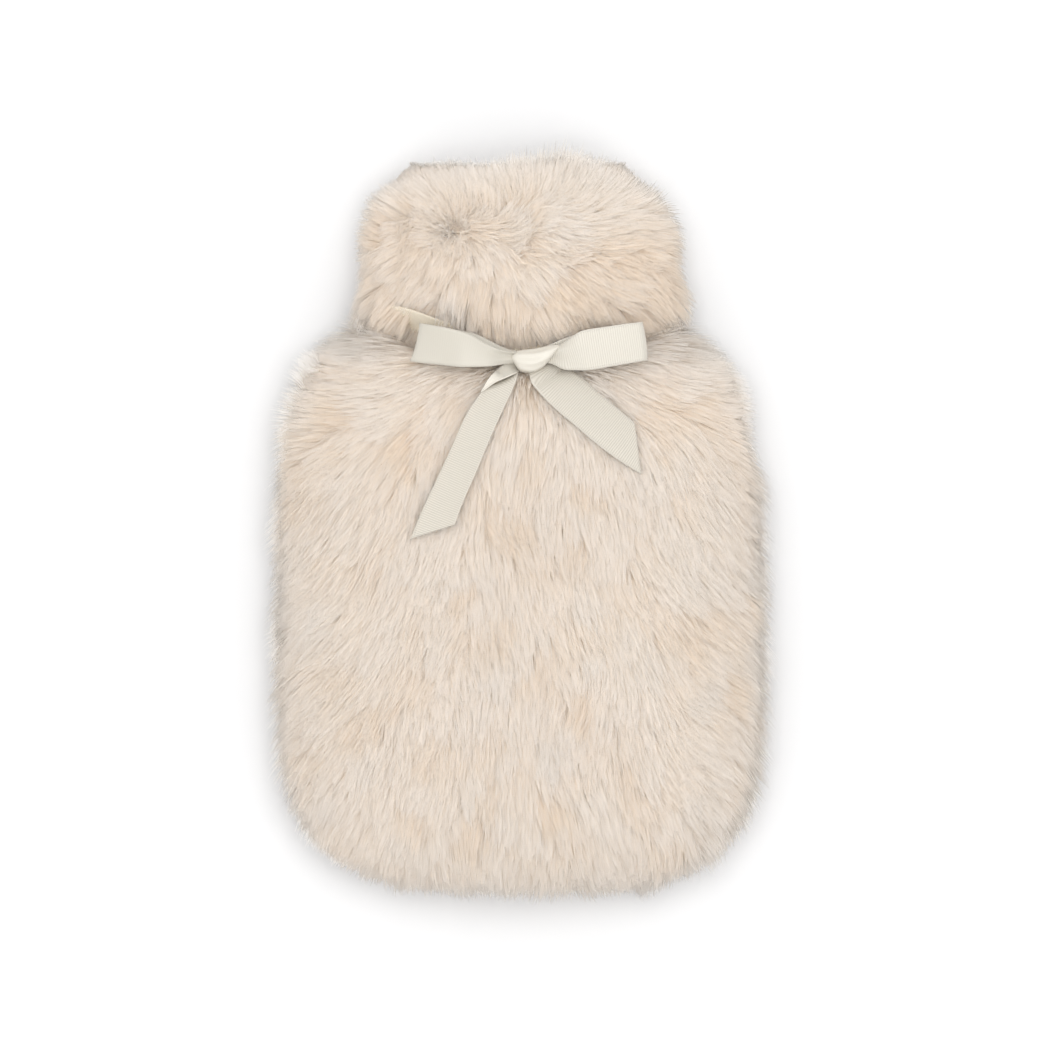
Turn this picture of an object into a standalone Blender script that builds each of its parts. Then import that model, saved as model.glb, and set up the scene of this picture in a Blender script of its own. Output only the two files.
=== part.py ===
"""Long-pile fur cover for a hot water bottle, lying on its back with a ribbon tied round its neck.

Metres, +Z up. +Y runs from the cover's foot to the mouth of its collar, and the origin is on the
surface, under the middle of the cover. The cover is hollow: a bottle goes in through the collar.
"""

import math
import random
from collections import namedtuple

import bmesh
import bpy
import numpy as np
from mathutils import Vector, noise

# Whole cover
SEAM_Z = 0.023  # height of the side seam, where the front and back panels meet
SEWN_GAP = 0.0003  # between pieces that are sewn or rest against each other
STRIP_GAP = 0.0011  # between the seam and the strips of locks
BACK_WALL = 0.008  # back panel where the cover's weight presses its pile flat
JOIN_Y = 0.100  # seam between the body and the collar, under the ribbon
MOUTH_Y = 0.173  # rim of the collar

# Foot of the cover: the plan narrows on a superellipse, and the depth on a rounder one
BEND_Y = -0.065
BEND_REACH = 0.1118
HOLLOW_REACH = 0.0985
BEND_POWER = 3.8
TOE_Y = -0.115
TOE_POWER = 2.4

# Cross section: z = (1 - |x|^SIDE_POWER)^(1/CROWN_POWER), in shares of the half-width and height
SIDE_POWER = 2.5
CROWN_POWER = 2.2
BACK_POWER = 3.2

# The pile closes over the side seam from both sides and leaves a furrow along it
FURROW_DEPTH = 0.005
FURROW_FLOOR = 0.0036
FURROW_SLOPE = 0.0060

# The front of the neck is pulled towards the foot by the knot
NECK_DIP = 0.016
NECK_DIP_REACH = 0.045

# Pile: locks that lie in lumps, fanning out from a point on the cover, and locks at the rim
LUMP_HEIGHT = 0.0115
LUMP_MEAN = 0.22
LUMP_SIZE = Vector((0.012, 0.030, 0.014))
BODY_FAN = Vector((0.000, 0.260))
COLLAR_FAN = Vector((-0.010, 0.150))
STRIP_THICK = 0.0015
STRIP_HEIGHT = 0.0062
LOCK_REACH = (0.0065, 0.0118)
MOUTH_REACH = (0.0090, 0.0128)
LOCK_FLOOR = 0.0008  # the lowest that a lock reaches
LOCK_WAIST = 0.78
LOCK_LEAN = 0.7
SEED = 11

# Ribbon: 19 mm grosgrain, gathered a little where it goes round the neck
RIBBON_THICK = 0.001
RIBBON_HALF = 0.0079
BAND_CLEAR = 0.0011  # from the neck's surface to the middle of the ribbon
KNOT_CENTRE = (0.0052, 0.0812, 0.0508)
KNOT_HALF = (0.0104, 0.0062, 0.0062)
KNOT_SLOPE = 0.22  # the knot rises to the right
KNOT_TAPER = 0.18  # and narrows that way
KNOT_ROUND = 0.8

# Outer form, a row for each section along the cover: how far the pile bulges over the ribbon at
# the sides, half-widths, crown, and underside before the surface presses it flat
Section = namedtuple("Section", "place push left right top base")
OUTSIDE = (
    Section(-0.0650, 0.0, 0.1165, 0.1165, 0.0625, -0.006),
    Section(-0.0200, 0.0, 0.1170, 0.1165, 0.0640, -0.006),
    Section(0.0200, 0.0, 0.1160, 0.1145, 0.0625, -0.006),
    Section(0.0400, 0.0, 0.1135, 0.1120, 0.0605, -0.006),
    Section(0.0600, 0.0, 0.1075, 0.1060, 0.0580, -0.006),
    Section(0.0740, 0.0, 0.1005, 0.0990, 0.0550, -0.005),
    Section(0.0820, 0.0015, 0.0955, 0.0940, 0.0530, -0.004),
    Section(0.0870, 0.0040, 0.0885, 0.0870, 0.0510, -0.003),
    Section(0.0892, 0.0060, 0.0790, 0.0780, 0.0485, -0.001),
    Section(0.0902, 0.0030, 0.0695, 0.0690, 0.0460, 0.001),
    Section(0.0910, 0.0000, 0.0620, 0.0620, 0.0435, 0.003),
    Section(0.1090, 0.0000, 0.0615, 0.0615, 0.0435, 0.003),
    Section(0.1100, -0.0025, 0.0680, 0.0685, 0.0470, 0.001),
    Section(0.1112, -0.0060, 0.0745, 0.0755, 0.0510, -0.001),
    Section(0.1160, -0.0040, 0.0790, 0.0800, 0.0560, -0.003),
    Section(0.1240, 0.0, 0.0795, 0.0795, 0.0590, -0.005),
    Section(0.1340, 0.0, 0.0790, 0.0775, 0.0600, -0.005),
    Section(0.1440, 0.0, 0.0765, 0.0745, 0.0580, -0.005),
    Section(0.1540, 0.0, 0.0725, 0.0690, 0.0550, -0.004),
    Section(0.1630, 0.0, 0.0660, 0.0615, 0.0510, -0.002),
    Section(0.1690, 0.0, 0.0615, 0.0580, 0.0480, 0.001),
    Section(0.1730, 0.0, 0.0560, 0.0535, 0.0450, 0.003),
)
INSIDE = (
    Section(-0.0650, 0.0, 0.1000, 0.1000, 0.0490, 0.006),
    Section(0.0200, 0.0, 0.0995, 0.0990, 0.0485, 0.006),
    Section(0.0500, 0.0, 0.0930, 0.0920, 0.0460, 0.006),
    Section(0.0700, 0.0, 0.0830, 0.0820, 0.0430, 0.007),
    Section(0.0830, 0.0, 0.0680, 0.0675, 0.0400, 0.008),
    Section(0.0910, 0.0, 0.0570, 0.0570, 0.0380, 0.0085),
    Section(0.1090, 0.0, 0.0565, 0.0565, 0.0380, 0.0085),
    Section(0.1240, 0.0, 0.0620, 0.0620, 0.0430, 0.0080),
    Section(0.1540, 0.0, 0.0570, 0.0550, 0.0410, 0.0080),
    Section(0.1730, 0.0, 0.0490, 0.0465, 0.0385, 0.0090),
)

BEND_ROWS = 18
BODY_ROWS = 21
BACK_BEND_ROWS = 12
BACK_BODY_ROWS = 11
SHOULDER_ROWS = (0.0670, 0.0740, 0.0800, 0.0850, 0.0882, 0.0898, 0.0912, JOIN_Y)
COLLAR_ROWS = (JOIN_Y, 0.1088, 0.1100, 0.1114, 0.1140, 0.1180, 0.1225, 0.1275, 0.1330, 0.1385,
               0.1440, 0.1495, 0.1550, 0.1605, 0.1655, 0.1695, MOUTH_Y)
COLLAR_HOLLOW_ROWS = 9
FRONT_COLUMNS = 44
BACK_COLUMNS = 32
COLLAR_COLUMNS = 32

# A rung joins the ribbon's two edges, and a strip of ribbon runs from rung to rung
Rung = namedtuple("Rung", "upper lower")
LEFT_LOOP = (
    Rung((0.0020, 0.0845, 0.0490), (0.0020, 0.0790, 0.0490)),
    Rung((-0.0060, 0.0868, 0.0510), (-0.0050, 0.0800, 0.0500)),
    Rung((-0.0235, 0.0932, 0.0535), (-0.0200, 0.0780, 0.0525)),
    Rung((-0.0420, 0.0972, 0.0540), (-0.0420, 0.0798, 0.0540)),
    Rung((-0.0493, 0.0986, 0.0562), (-0.0533, 0.0805, 0.0562)),
    Rung((-0.0470, 0.0983, 0.0595), (-0.0512, 0.0798, 0.0595)),
    Rung((-0.0310, 0.0945, 0.0622), (-0.0330, 0.0774, 0.0615)),
    Rung((-0.0185, 0.0885, 0.0605), (-0.0190, 0.0780, 0.0590)),
    Rung((-0.0085, 0.0845, 0.0555), (-0.0090, 0.0793, 0.0540)),
    Rung((0.0030, 0.0835, 0.0515), (0.0030, 0.0797, 0.0515)),
)
RIGHT_LOOP = (
    Rung((0.0070, 0.0845, 0.0490), (0.0070, 0.0790, 0.0490)),
    Rung((0.0150, 0.0885, 0.0510), (0.0150, 0.0795, 0.0500)),
    Rung((0.0300, 0.0955, 0.0525), (0.0300, 0.0780, 0.0520)),
    Rung((0.0500, 0.0990, 0.0535), (0.0510, 0.0795, 0.0535)),
    Rung((0.0598, 0.1010, 0.0560), (0.0628, 0.0820, 0.0560)),
    Rung((0.0570, 0.1006, 0.0595), (0.0600, 0.0815, 0.0595)),
    Rung((0.0400, 0.0985, 0.0620), (0.0400, 0.0780, 0.0615)),
    Rung((0.0240, 0.0945, 0.0590), (0.0240, 0.0770, 0.0575)),
    Rung((0.0150, 0.0895, 0.0540), (0.0150, 0.0805, 0.0530)),
    Rung((0.0070, 0.0850, 0.0510), (0.0070, 0.0800, 0.0510)),
)
# The tails lie on the pile, and a rung's third value is the height above it
TAIL_HEIGHT = 0.0024
TAIL_PRESS = 0.0010  # how far a tail presses the pile down
TAIL_HOLD = 0.014  # half-width of the pile that a tail holds down
LEFT_TAIL = (
    Rung((0.0000, 0.0815, 0.0030), (0.0040, 0.0790, 0.0030)),
    Rung((-0.0085, 0.0752, 0.0060), (-0.0005, 0.0772, 0.0060)),
    Rung((-0.0172, 0.0658, 0.0078), (-0.0012, 0.0742, 0.0082)),
    Rung((-0.0210, 0.0585, 0.0050), (-0.0035, 0.0610, 0.0055)),
    Rung((-0.0275, 0.0430, TAIL_HEIGHT), (-0.0095, 0.0455, TAIL_HEIGHT)),
    Rung((-0.0353, 0.0225, TAIL_HEIGHT), (-0.0160, 0.0290, TAIL_HEIGHT)),
    Rung((-0.0440, 0.0085, TAIL_HEIGHT), (-0.0245, 0.0130, TAIL_HEIGHT)),
    Rung((-0.0534, -0.0067, TAIL_HEIGHT), (-0.0314, -0.0017, TAIL_HEIGHT)),
)
RIGHT_TAIL = (
    Rung((0.0100, 0.0800, 0.0035), (0.0045, 0.0780, 0.0035)),
    Rung((0.0230, 0.0765, 0.0050), (0.0055, 0.0705, 0.0050)),
    Rung((0.0350, 0.0695, TAIL_HEIGHT), (0.0130, 0.0590, TAIL_HEIGHT)),
    Rung((0.0460, 0.0615, TAIL_HEIGHT), (0.0280, 0.0475, TAIL_HEIGHT)),
    Rung((0.0535, 0.0555, TAIL_HEIGHT), (0.0440, 0.0355, TAIL_HEIGHT)),
    Rung((0.0575, 0.0502, TAIL_HEIGHT), (0.0605, 0.0262, TAIL_HEIGHT)),
)
BAND_STEPS = 88
LOOP_STEPS = 22
TAIL_STEPS = 20


def clear_scene():
    """Removes the objects that the start-up scene holds."""
    for thing in list(bpy.data.objects):
        bpy.data.objects.remove(thing, do_unlink=True)


def new_collection(name, hidden=False):
    """A collection in the scene, left out of renders if it holds helpers."""
    made = bpy.data.collections.new(name)
    made.hide_render = hidden
    bpy.context.scene.collection.children.link(made)
    return made


def cloth_material(name, colour, roughness):
    """A plain Principled material."""
    made = bpy.data.materials.new(name)
    made.use_nodes = True
    shader = made.node_tree.nodes["Principled BSDF"]
    shader.inputs["Base Color"].default_value = (*colour, 1.0)
    shader.inputs["Roughness"].default_value = roughness
    shader.inputs["Metallic"].default_value = 0.0
    return made


def ease(values):
    """Smooth step of values that run from 0 to 1."""
    held = np.clip(values, 0.0, 1.0)
    return held * held * (3.0 - 2.0 * held)


def through(places, values, at):
    """Monotone cubic through the values at the places, read at other places."""
    step = np.diff(places)
    slope = np.diff(values) / step
    inner = np.where(slope[1:] * slope[:-1] > 0,
                     2 * slope[1:] * slope[:-1] / (slope[1:] + slope[:-1] + 1e-12), 0.0)
    tangent = np.concatenate([slope[:1], inner, slope[-1:]])
    i = np.clip(np.searchsorted(places, at) - 1, 0, len(step) - 1)
    t = np.clip((at - places[i]) / step[i], 0.0, 1.0)
    rest = 1.0 - t
    return (values[i] * (1 + 2 * t) * rest**2 + tangent[i] * step[i] * t * rest**2
            + values[i + 1] * t**2 * (3 - 2 * t) - tangent[i + 1] * step[i] * t**2 * rest)


def sections_at(place, table, reach):
    """Push, half-widths, rise and drop of the sections at places along the cover."""
    rows = np.array(table)
    push, left, right, top, base = (
        through(rows[:, 0], rows[:, k], np.maximum(place, BEND_Y)) for k in range(1, 6))
    bend = np.clip((BEND_Y - place) / reach, 0.0, 1.0).round(9)
    toe = np.clip((TOE_Y - place) / (reach + TOE_Y - BEND_Y), 0.0, 1.0).round(9)
    narrow = (1 - bend**BEND_POWER) ** (1 / BEND_POWER)
    shallow = (1 - toe**TOE_POWER) ** (1 / TOE_POWER)
    return push, left * narrow, right * narrow, (top - SEAM_Z) * shallow, (SEAM_Z - base) * shallow


def pulled(place, fan, face):
    """How far the knot pulls the front of the neck towards the foot."""
    pull = NECK_DIP * np.exp(-((place - JOIN_Y) / NECK_DIP_REACH)**2) * np.cos(fan)**2
    return np.where(face > 0, pull, 0.0)


def skin(place, fan, face, inside=False):
    """Points of the cover's surface. place is the distance along it, fan the angle across it from
    -90 degrees at the left seam to 90 at the right, and face 1 for the front, -1 for the back."""
    push, left, right, rise, drop = sections_at(
        place, INSIDE if inside else OUTSIDE, HOLLOW_REACH if inside else BEND_REACH)
    across = np.sin(fan)
    x = across * np.where(across > 0, right, left)
    power = np.where(face > 0, SIDE_POWER, BACK_POWER)
    depth = np.clip(1 - np.abs(across)**power, 0.0, 1.0) ** (1 / CROWN_POWER)
    z = SEAM_Z + np.where(face > 0, rise, -drop) * depth
    y = place + push * across**4 - pulled(place, fan, face)
    if not inside:
        x, y = furrowed(x, y, z, place)
    return np.stack([x, y, np.maximum(z, BACK_WALL if inside else 0.0)], axis=-1)


def furrowed(x, y, z, place):
    """The outline drawn in along the side seam, towards the cover's middle line."""
    near = 1 - ease((np.abs(z - SEAM_Z) - FURROW_FLOOR) / FURROW_SLOPE)
    near = near * ease((np.abs(place - JOIN_Y) - 0.0100) / 0.0030)
    spine = np.maximum(y, BEND_Y - 0.035)
    length = np.maximum(np.hypot(x, y - spine), 1e-6)
    depth = np.minimum(FURROW_DEPTH * near, length)
    return x - depth * x / length, y - depth * (y - spine) / length


def lump(point, centre):
    """Height of the pile's lumps at a point: soft mounds with creases between them, drawn out
    along the pile, which fans from the centre."""
    run = Vector((point[0] - centre.x, point[1] - centre.y))
    turn = math.atan2(run.x, -run.y)
    place = Vector((turn * (0.04 + run.length * 0.75) / LUMP_SIZE.x, run.length / LUMP_SIZE.y,
                    point[2] / LUMP_SIZE.z))
    return LUMP_HEIGHT * (abs(noise.noise(place)) + 0.4 * abs(noise.noise(place * 1.9))
                          - LUMP_MEAN)


def under_tails(points):
    """1 where a tail of the ribbon lies on the pile and holds it down, 0 away from it."""
    nearest = np.full(points.shape[:-1], np.inf)
    for rungs in (LEFT_TAIL, RIGHT_TAIL):
        start, end = (np.add(r.upper, r.lower)[:2] / 2 for r in (rungs[0], rungs[-1]))
        along = end - start
        share = np.clip((points[..., :2] - start) @ along / (along @ along), 0.0, 1.0)
        away = points[..., :2] - start - share[..., None] * along
        nearest = np.minimum(nearest, np.linalg.norm(away, axis=-1))
    return 1 - ease((nearest - TAIL_HOLD) / 0.010)


def with_lumps(points, place, wrapped, centre):
    """The grid moved along its normals by the lumps, which fade at the seams, neck and floor."""
    along = np.gradient(points, axis=0)
    if wrapped:
        across = np.roll(points, -1, axis=1) - np.roll(points, 1, axis=1)
    else:
        across = np.gradient(points, axis=1)
    normal = np.cross(across, along)
    normal /= np.maximum(np.linalg.norm(normal, axis=-1, keepdims=True), 1e-9)
    height = np.apply_along_axis(lump, -1, points, centre)
    held = under_tails(points)
    height = height * (1 - held) + (np.minimum(height, 0.0) - TAIL_PRESS) * held
    z = points[..., 2]
    fade = ease((np.abs(z - SEAM_Z) - 0.006) / 0.006) * ease((z - 0.002) / 0.006)
    fade = fade * ease((np.abs(place - JOIN_Y) - 0.0105) / 0.004) * ease((MOUTH_Y - place) / 0.006)
    return points + normal * (height * fade)[..., None]


def ring_of_faces(outer, inner):
    """Three triangles for each edge of the inner line and the two edges of the outer line by it."""
    faces = []
    for k in range(len(inner) - 1):
        a, b, c = outer[2 * k:2 * k + 3]
        faces += [(a, b, inner[k]), (b, inner[k + 1], inner[k]), (b, c, inner[k + 1])]
    return faces


def quads(index, flipped=False):
    """The quads of a grid of vertex numbers."""
    around = (index[:-1, :-1], index[:-1, 1:], index[1:, 1:], index[1:, :-1])
    faces = np.stack(around, axis=-1).reshape(-1, 4)
    return [tuple(int(n) for n in (f[::-1] if flipped else f)) for f in faces]


def solid_from(name, points, faces, collection, material):
    """An object of these points and faces, with its doubles merged and its faces outwards."""
    mesh = bpy.data.meshes.new(name)
    bm = bmesh.new()
    corners = [bm.verts.new(p) for p in points]
    for face in faces:
        bm.faces.new([corners[n] for n in face])
    bmesh.ops.remove_doubles(bm, verts=bm.verts, dist=1e-7)
    bmesh.ops.recalc_face_normals(bm, faces=bm.faces)
    bm.to_mesh(mesh)
    bm.free()
    mesh.shade_smooth()
    mesh.materials.append(material)
    made = bpy.data.objects.new(name, mesh)
    collection.objects.link(made)
    return made


def panel(name, face, columns, row_counts, collection, material):
    """Half of the body: a lumpy outside and a smooth hollow side on a coarser grid, joined round
    the seam and the neck."""
    bend_rows, body_rows = row_counts
    share = np.linspace(1.0, 0.0, bend_rows + 1)
    fan = np.radians(np.linspace(-90.0, 90.0, columns + 1))
    grids = []
    for inside, step in ((False, 1), (True, 2)):
        bend = BEND_Y - (HOLLOW_REACH if inside else BEND_REACH) * (1 - (1 - share)**2)
        rows = np.concatenate([bend, np.linspace(BEND_Y, SHOULDER_ROWS[0], body_rows + 1)[1:],
                               SHOULDER_ROWS[1:]])
        rows[-1] -= SEWN_GAP / 2
        place, angle = np.meshgrid(rows[::step], fan[::step], indexing="ij")
        points = skin(place, angle, face, inside)
        if not inside:
            points = with_lumps(points, place, False, BODY_FAN)
        points[..., 2] = np.maximum(points[..., 2] + face * SEWN_GAP / 2, 0.0)
        grids.append(points)
    outer, inner = grids
    first = np.arange(outer[..., 0].size).reshape(outer.shape[:2])
    second = first.size + np.arange(inner[..., 0].size).reshape(inner.shape[:2])

    def border(index):
        return [*index[:, -1], *index[-1, -2::-1], *index[-2::-1, 0]]

    points = np.concatenate([outer.reshape(-1, 3), inner.reshape(-1, 3)])
    faces = quads(first) + quads(second, flipped=True)
    faces += [tuple(int(n) for n in f) for f in ring_of_faces(border(first), border(second))]
    return solid_from(name, points, faces, collection, material)


def collar_tube(collection, material):
    """The collar: a puffed tube from the neck to the mouth, with its hollow on a coarser grid."""
    front = np.radians(np.linspace(-90.0, 90.0, COLLAR_COLUMNS + 1))[:-1]
    fan = np.concatenate([front, -front])
    face = np.repeat([1, -1], COLLAR_COLUMNS)
    rows = np.array(COLLAR_ROWS)
    rows[0] += SEWN_GAP / 2
    hollow = np.linspace(rows[0], rows[-1], COLLAR_HOLLOW_ROWS)
    grids = []
    for inside, places, step in ((False, rows, 1), (True, hollow, 2)):
        place, angle = np.meshgrid(places, fan[::step], indexing="ij")
        points = skin(place, angle, np.broadcast_to(face[::step], place.shape), inside)
        grids.append(points if inside else with_lumps(points, place, True, COLLAR_FAN))
    outer, inner = grids
    first = np.arange(outer[..., 0].size).reshape(outer.shape[:2])
    second = first.size + np.arange(inner[..., 0].size).reshape(inner.shape[:2])
    first, second = (np.concatenate([n, n[:, :1]], axis=1) for n in (first, second))
    faces = quads(first) + quads(second, flipped=True)
    for row in (0, -1):
        ring = ring_of_faces(first[row], second[row])
        faces += [tuple(int(n) for n in (f if row else f[::-1])) for f in ring]
    points = np.concatenate([outer.reshape(-1, 3), inner.reshape(-1, 3)])
    return solid_from("collar", points, faces, collection, material)


def locks_on_strip(name, places, outward, upward, lean, reaches, closed, collection, material):
    """A narrow strip of backing along the places, with two rows of tapered locks on its outer
    side. Each lock grows from one face of the strip and stands apart from the next."""
    chance = random.Random(f"{SEED} {name}")
    half = STRIP_HEIGHT / 2
    section = ((0.0, -half), (0.0, half), (STRIP_THICK, half), (STRIP_THICK, 0.0),
               (STRIP_THICK, -half))
    bm = bmesh.new()
    rings = [[bm.verts.new(p + o * out + u * up) for out, up in section]
             for p, o, u in zip(places, outward, upward)]
    pairs = list(zip(rings, rings[1:] + (rings[:1] if closed else [])))
    pile = []
    for here, there in pairs:
        for k in range(len(section)):
            m = (k + 1) % len(section)
            made = bm.faces.new((here[k], here[m], there[m], there[k]))
            if k in (2, 3):
                pile.append((made, k == 2))
    if not closed:
        bm.faces.new(rings[0][::-1])
        bm.faces.new(rings[-1])
    bmesh.ops.recalc_face_normals(bm, faces=bm.faces)
    roots = {f: upper for f, upper in pile}
    for root, upper in list(roots.items()):
        station = min(range(len(places)), key=lambda n: (root.calc_center_median()
                                                         - places[n]).length)
        way = (outward[station] + lean[station] * LOCK_LEAN * chance.uniform(0.5, 1.5)
               + upward[station] * (0.35 if upper else -0.2) * chance.uniform(0.2, 1.8))
        reach = chance.uniform(*reaches)
        middle = root.calc_center_median()
        grown = bmesh.ops.extrude_discrete_faces(bm, faces=[root])["faces"][0]
        for corner in grown.verts:
            corner.co = middle + (corner.co - middle) * LOCK_WAIST + outward[station] * reach / 2
        tip = bmesh.ops.poke(bm, faces=[grown])["verts"][0]
        tip.co = middle + way.normalized() * reach
        for corner in (*grown.verts, tip) if grown.is_valid else (tip,):
            corner.co.z = max(corner.co.z, LOCK_FLOOR)
    bmesh.ops.recalc_face_normals(bm, faces=bm.faces)
    mesh = bpy.data.meshes.new(name)
    bm.to_mesh(mesh)
    bm.free()
    mesh.materials.append(material)
    made = bpy.data.objects.new(name, mesh)
    collection.objects.link(made)
    return made


def plan_line(rows, side):
    """Points on the side seam, left for -1 and right for 1, and the way out of the cover there."""
    points = skin(rows, np.full(len(rows), side * math.pi / 2), 1)
    along = np.gradient(points, axis=0)
    out = np.stack([along[:, 1], -along[:, 0], np.zeros(len(rows))], axis=1)
    out /= np.linalg.norm(out, axis=1, keepdims=True)
    return points, out


def even_steps(points, extra, count):
    """The line and what goes with it at evenly spaced stations."""
    run = np.concatenate([[0.0], np.cumsum(np.linalg.norm(np.diff(points, axis=0), axis=1))])
    at = np.linspace(0.0, run[-1], count + 1)
    return [np.stack([np.interp(at, run, column) for column in values.T], axis=1)
            for values in (points, extra)]


def seam_locks(name, rows, sides, count, collection, material):
    """Locks along the side seam: down one side, or down the left side and up the right."""
    lines, ways = zip(*(plan_line(rows if side > 0 else rows[::-1], side) for side in sides))
    points, out = even_steps(np.concatenate(lines), np.concatenate(ways), count)
    out /= np.linalg.norm(out, axis=1, keepdims=True)
    points = points + out * STRIP_GAP
    down = np.array([0.0, -1.0, 0.0])
    lean = down - out * (out @ down)[:, None]
    up = [Vector((0.0, 0.0, 1.0))] * len(points)
    return locks_on_strip(name, [Vector(p) for p in points], [Vector(o) for o in out], up,
                          [Vector(v) for v in lean], LOCK_REACH, False, collection, material)


def mouth_locks(count, collection, material):
    """Locks round the rim of the collar, on a ring of backing that lies on its end."""
    turn = np.linspace(0.0, 2 * math.pi, count, endpoint=False)
    fan = np.arcsin(np.sin(turn))
    face = np.where(np.cos(turn) >= 0, 1, -1)
    y = np.full(count, MOUTH_Y)
    middle = (skin(y, fan, face) + skin(y, fan, face, inside=True)) / 2
    middle[:, 1] += SEWN_GAP
    centre = np.array([0.0, 0.0, SEAM_Z])
    radial = (middle - centre) * [1, 0, 1]
    radial /= np.linalg.norm(radial, axis=1, keepdims=True)
    return locks_on_strip("mouth_locks", [Vector(p) for p in middle],
                          [Vector((0.0, 1.0, 0.0))] * count, [Vector(r) for r in radial],
                          [Vector(r) * 0.9 for r in radial], MOUTH_REACH, True, collection,
                          material)


def ribbon_strip(name, upper, lower, closed, collection):
    """A strip of ribbon between two edge lines, as an open surface with a Solidify on it."""
    rows = [upper, lower] if closed else [upper, (upper + lower) / 2, lower]
    lines = np.stack(rows, axis=1)
    index = np.arange(lines[..., 0].size).reshape(lines.shape[:2])
    if closed:
        index = np.concatenate([index, index[:1]])
    mesh = bpy.data.meshes.new(name)
    mesh.from_pydata(lines.reshape(-1, 3).tolist(), [], quads(index))
    made = bpy.data.objects.new(name, mesh)
    collection.objects.link(made)
    thick = made.modifiers.new("Thickness", "SOLIDIFY")
    thick.thickness = RIBBON_THICK
    thick.offset = 0.0
    return made


def smooth_edges(rungs, steps):
    """The two edge lines of a strip, on cubics through its rungs."""
    table = np.array([[*rung.upper, *rung.lower] for rung in rungs])
    middle = (table[:, :3] + table[:, 3:]) / 2
    run = np.concatenate([[0.0], np.cumsum(np.linalg.norm(np.diff(middle, axis=0), axis=1))])
    at = np.linspace(0.0, run[-1], steps + 1)
    lines = np.stack([through(run, column, at) for column in table.T], axis=1)
    return lines[:, :3], lines[:, 3:]


def pile_height(points):
    """Height of the front's surface under these points, without its lumps."""
    x, y = points[:, 0], points[:, 1]
    place = y.copy()
    for _ in range(6):
        _, left, right, _, _ = sections_at(place, OUTSIDE, BEND_REACH)
        share = np.clip(np.abs(x) / np.where(x > 0, right, left), 0.0, 1.0)
        fan = np.arcsin(share * np.sign(x))
        place = y + pulled(place, fan, 1)
    return skin(place, fan, 1)[:, 2]


def tail_edges(rungs, steps):
    """The edge lines of a tail, whose heights are counted from the pile."""
    edges = smooth_edges(rungs, steps)
    for edge in edges:
        edge[:, 2] += pile_height(edge)
    return edges


def band_edges(steps):
    """The edge lines of the ribbon's round of the neck, drawn in where it meets the knot."""
    turn = np.linspace(0.0, 2 * math.pi, steps, endpoint=False)
    fan = np.arcsin(np.sin(turn))
    face = np.where(np.cos(turn) >= 0, 1, -1)
    near_knot = np.exp(-((np.sin(turn) * 0.0615 - KNOT_CENTRE[0]) / 0.016)**2) * (face > 0)
    half = RIBBON_HALF * (1 - 0.55 * near_knot)
    edges = []
    for way in (1, -1):
        line = skin(JOIN_Y + way * half, fan, face)
        around = np.roll(line, -1, axis=0) - np.roll(line, 1, axis=0)
        out = np.stack([-around[:, 2], np.zeros(steps), around[:, 0]], axis=1)
        out /= np.linalg.norm(out, axis=1, keepdims=True)
        edges.append(line + out * BAND_CLEAR)
    return edges


def baked_mesh(thing):
    """The object's evaluated mesh in place of its modifiers."""
    bpy.context.view_layer.update()
    graph = bpy.context.evaluated_depsgraph_get()
    mesh = bpy.data.meshes.new_from_object(thing.evaluated_get(graph))
    thing.modifiers.clear()
    thing.data = mesh


def knot_form():
    """The knot: a flattened pillow of wound ribbon that rises and narrows to the right."""
    bpy.ops.mesh.primitive_uv_sphere_add(segments=20, ring_count=12, radius=1.0)
    knot = bpy.context.object
    knot.name = "knot_form"
    for vertex in knot.data.vertices:
        x, y, z = (math.copysign(abs(c) ** KNOT_ROUND, c) for c in vertex.co)
        y = y * (1 - KNOT_TAPER * x) + KNOT_SLOPE * x * KNOT_HALF[0] / KNOT_HALF[1]
        vertex.co = [m + c * h for m, c, h in zip(KNOT_CENTRE, (x, y, z), KNOT_HALF)]
    return knot


def neck_ribbon(collection, helpers, material):
    """One length of ribbon: round the neck, knotted at the front, with two loops and two tails."""
    bow = ribbon_strip("neck_ribbon", *band_edges(BAND_STEPS), True, collection)
    baked_mesh(bow)
    knot = knot_form()
    for other in list(knot.users_collection):
        other.objects.unlink(knot)
    helpers.objects.link(knot)
    parts = [
        knot,
        ribbon_strip("left_loop_form", *smooth_edges(LEFT_LOOP, LOOP_STEPS), False, helpers),
        ribbon_strip("right_loop_form", *smooth_edges(RIGHT_LOOP, LOOP_STEPS), False, helpers),
        ribbon_strip("left_tail_form", *tail_edges(LEFT_TAIL, TAIL_STEPS), False, helpers),
        ribbon_strip("right_tail_form", *tail_edges(RIGHT_TAIL, TAIL_STEPS), False, helpers),
    ]
    for piece in parts:
        piece.hide_render = True
        piece.display_type = "WIRE"
        join = bow.modifiers.new(piece.name, "BOOLEAN")
        join.operation = "UNION"
        join.object = piece
    bow.data.materials.append(material)
    return bow


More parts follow.
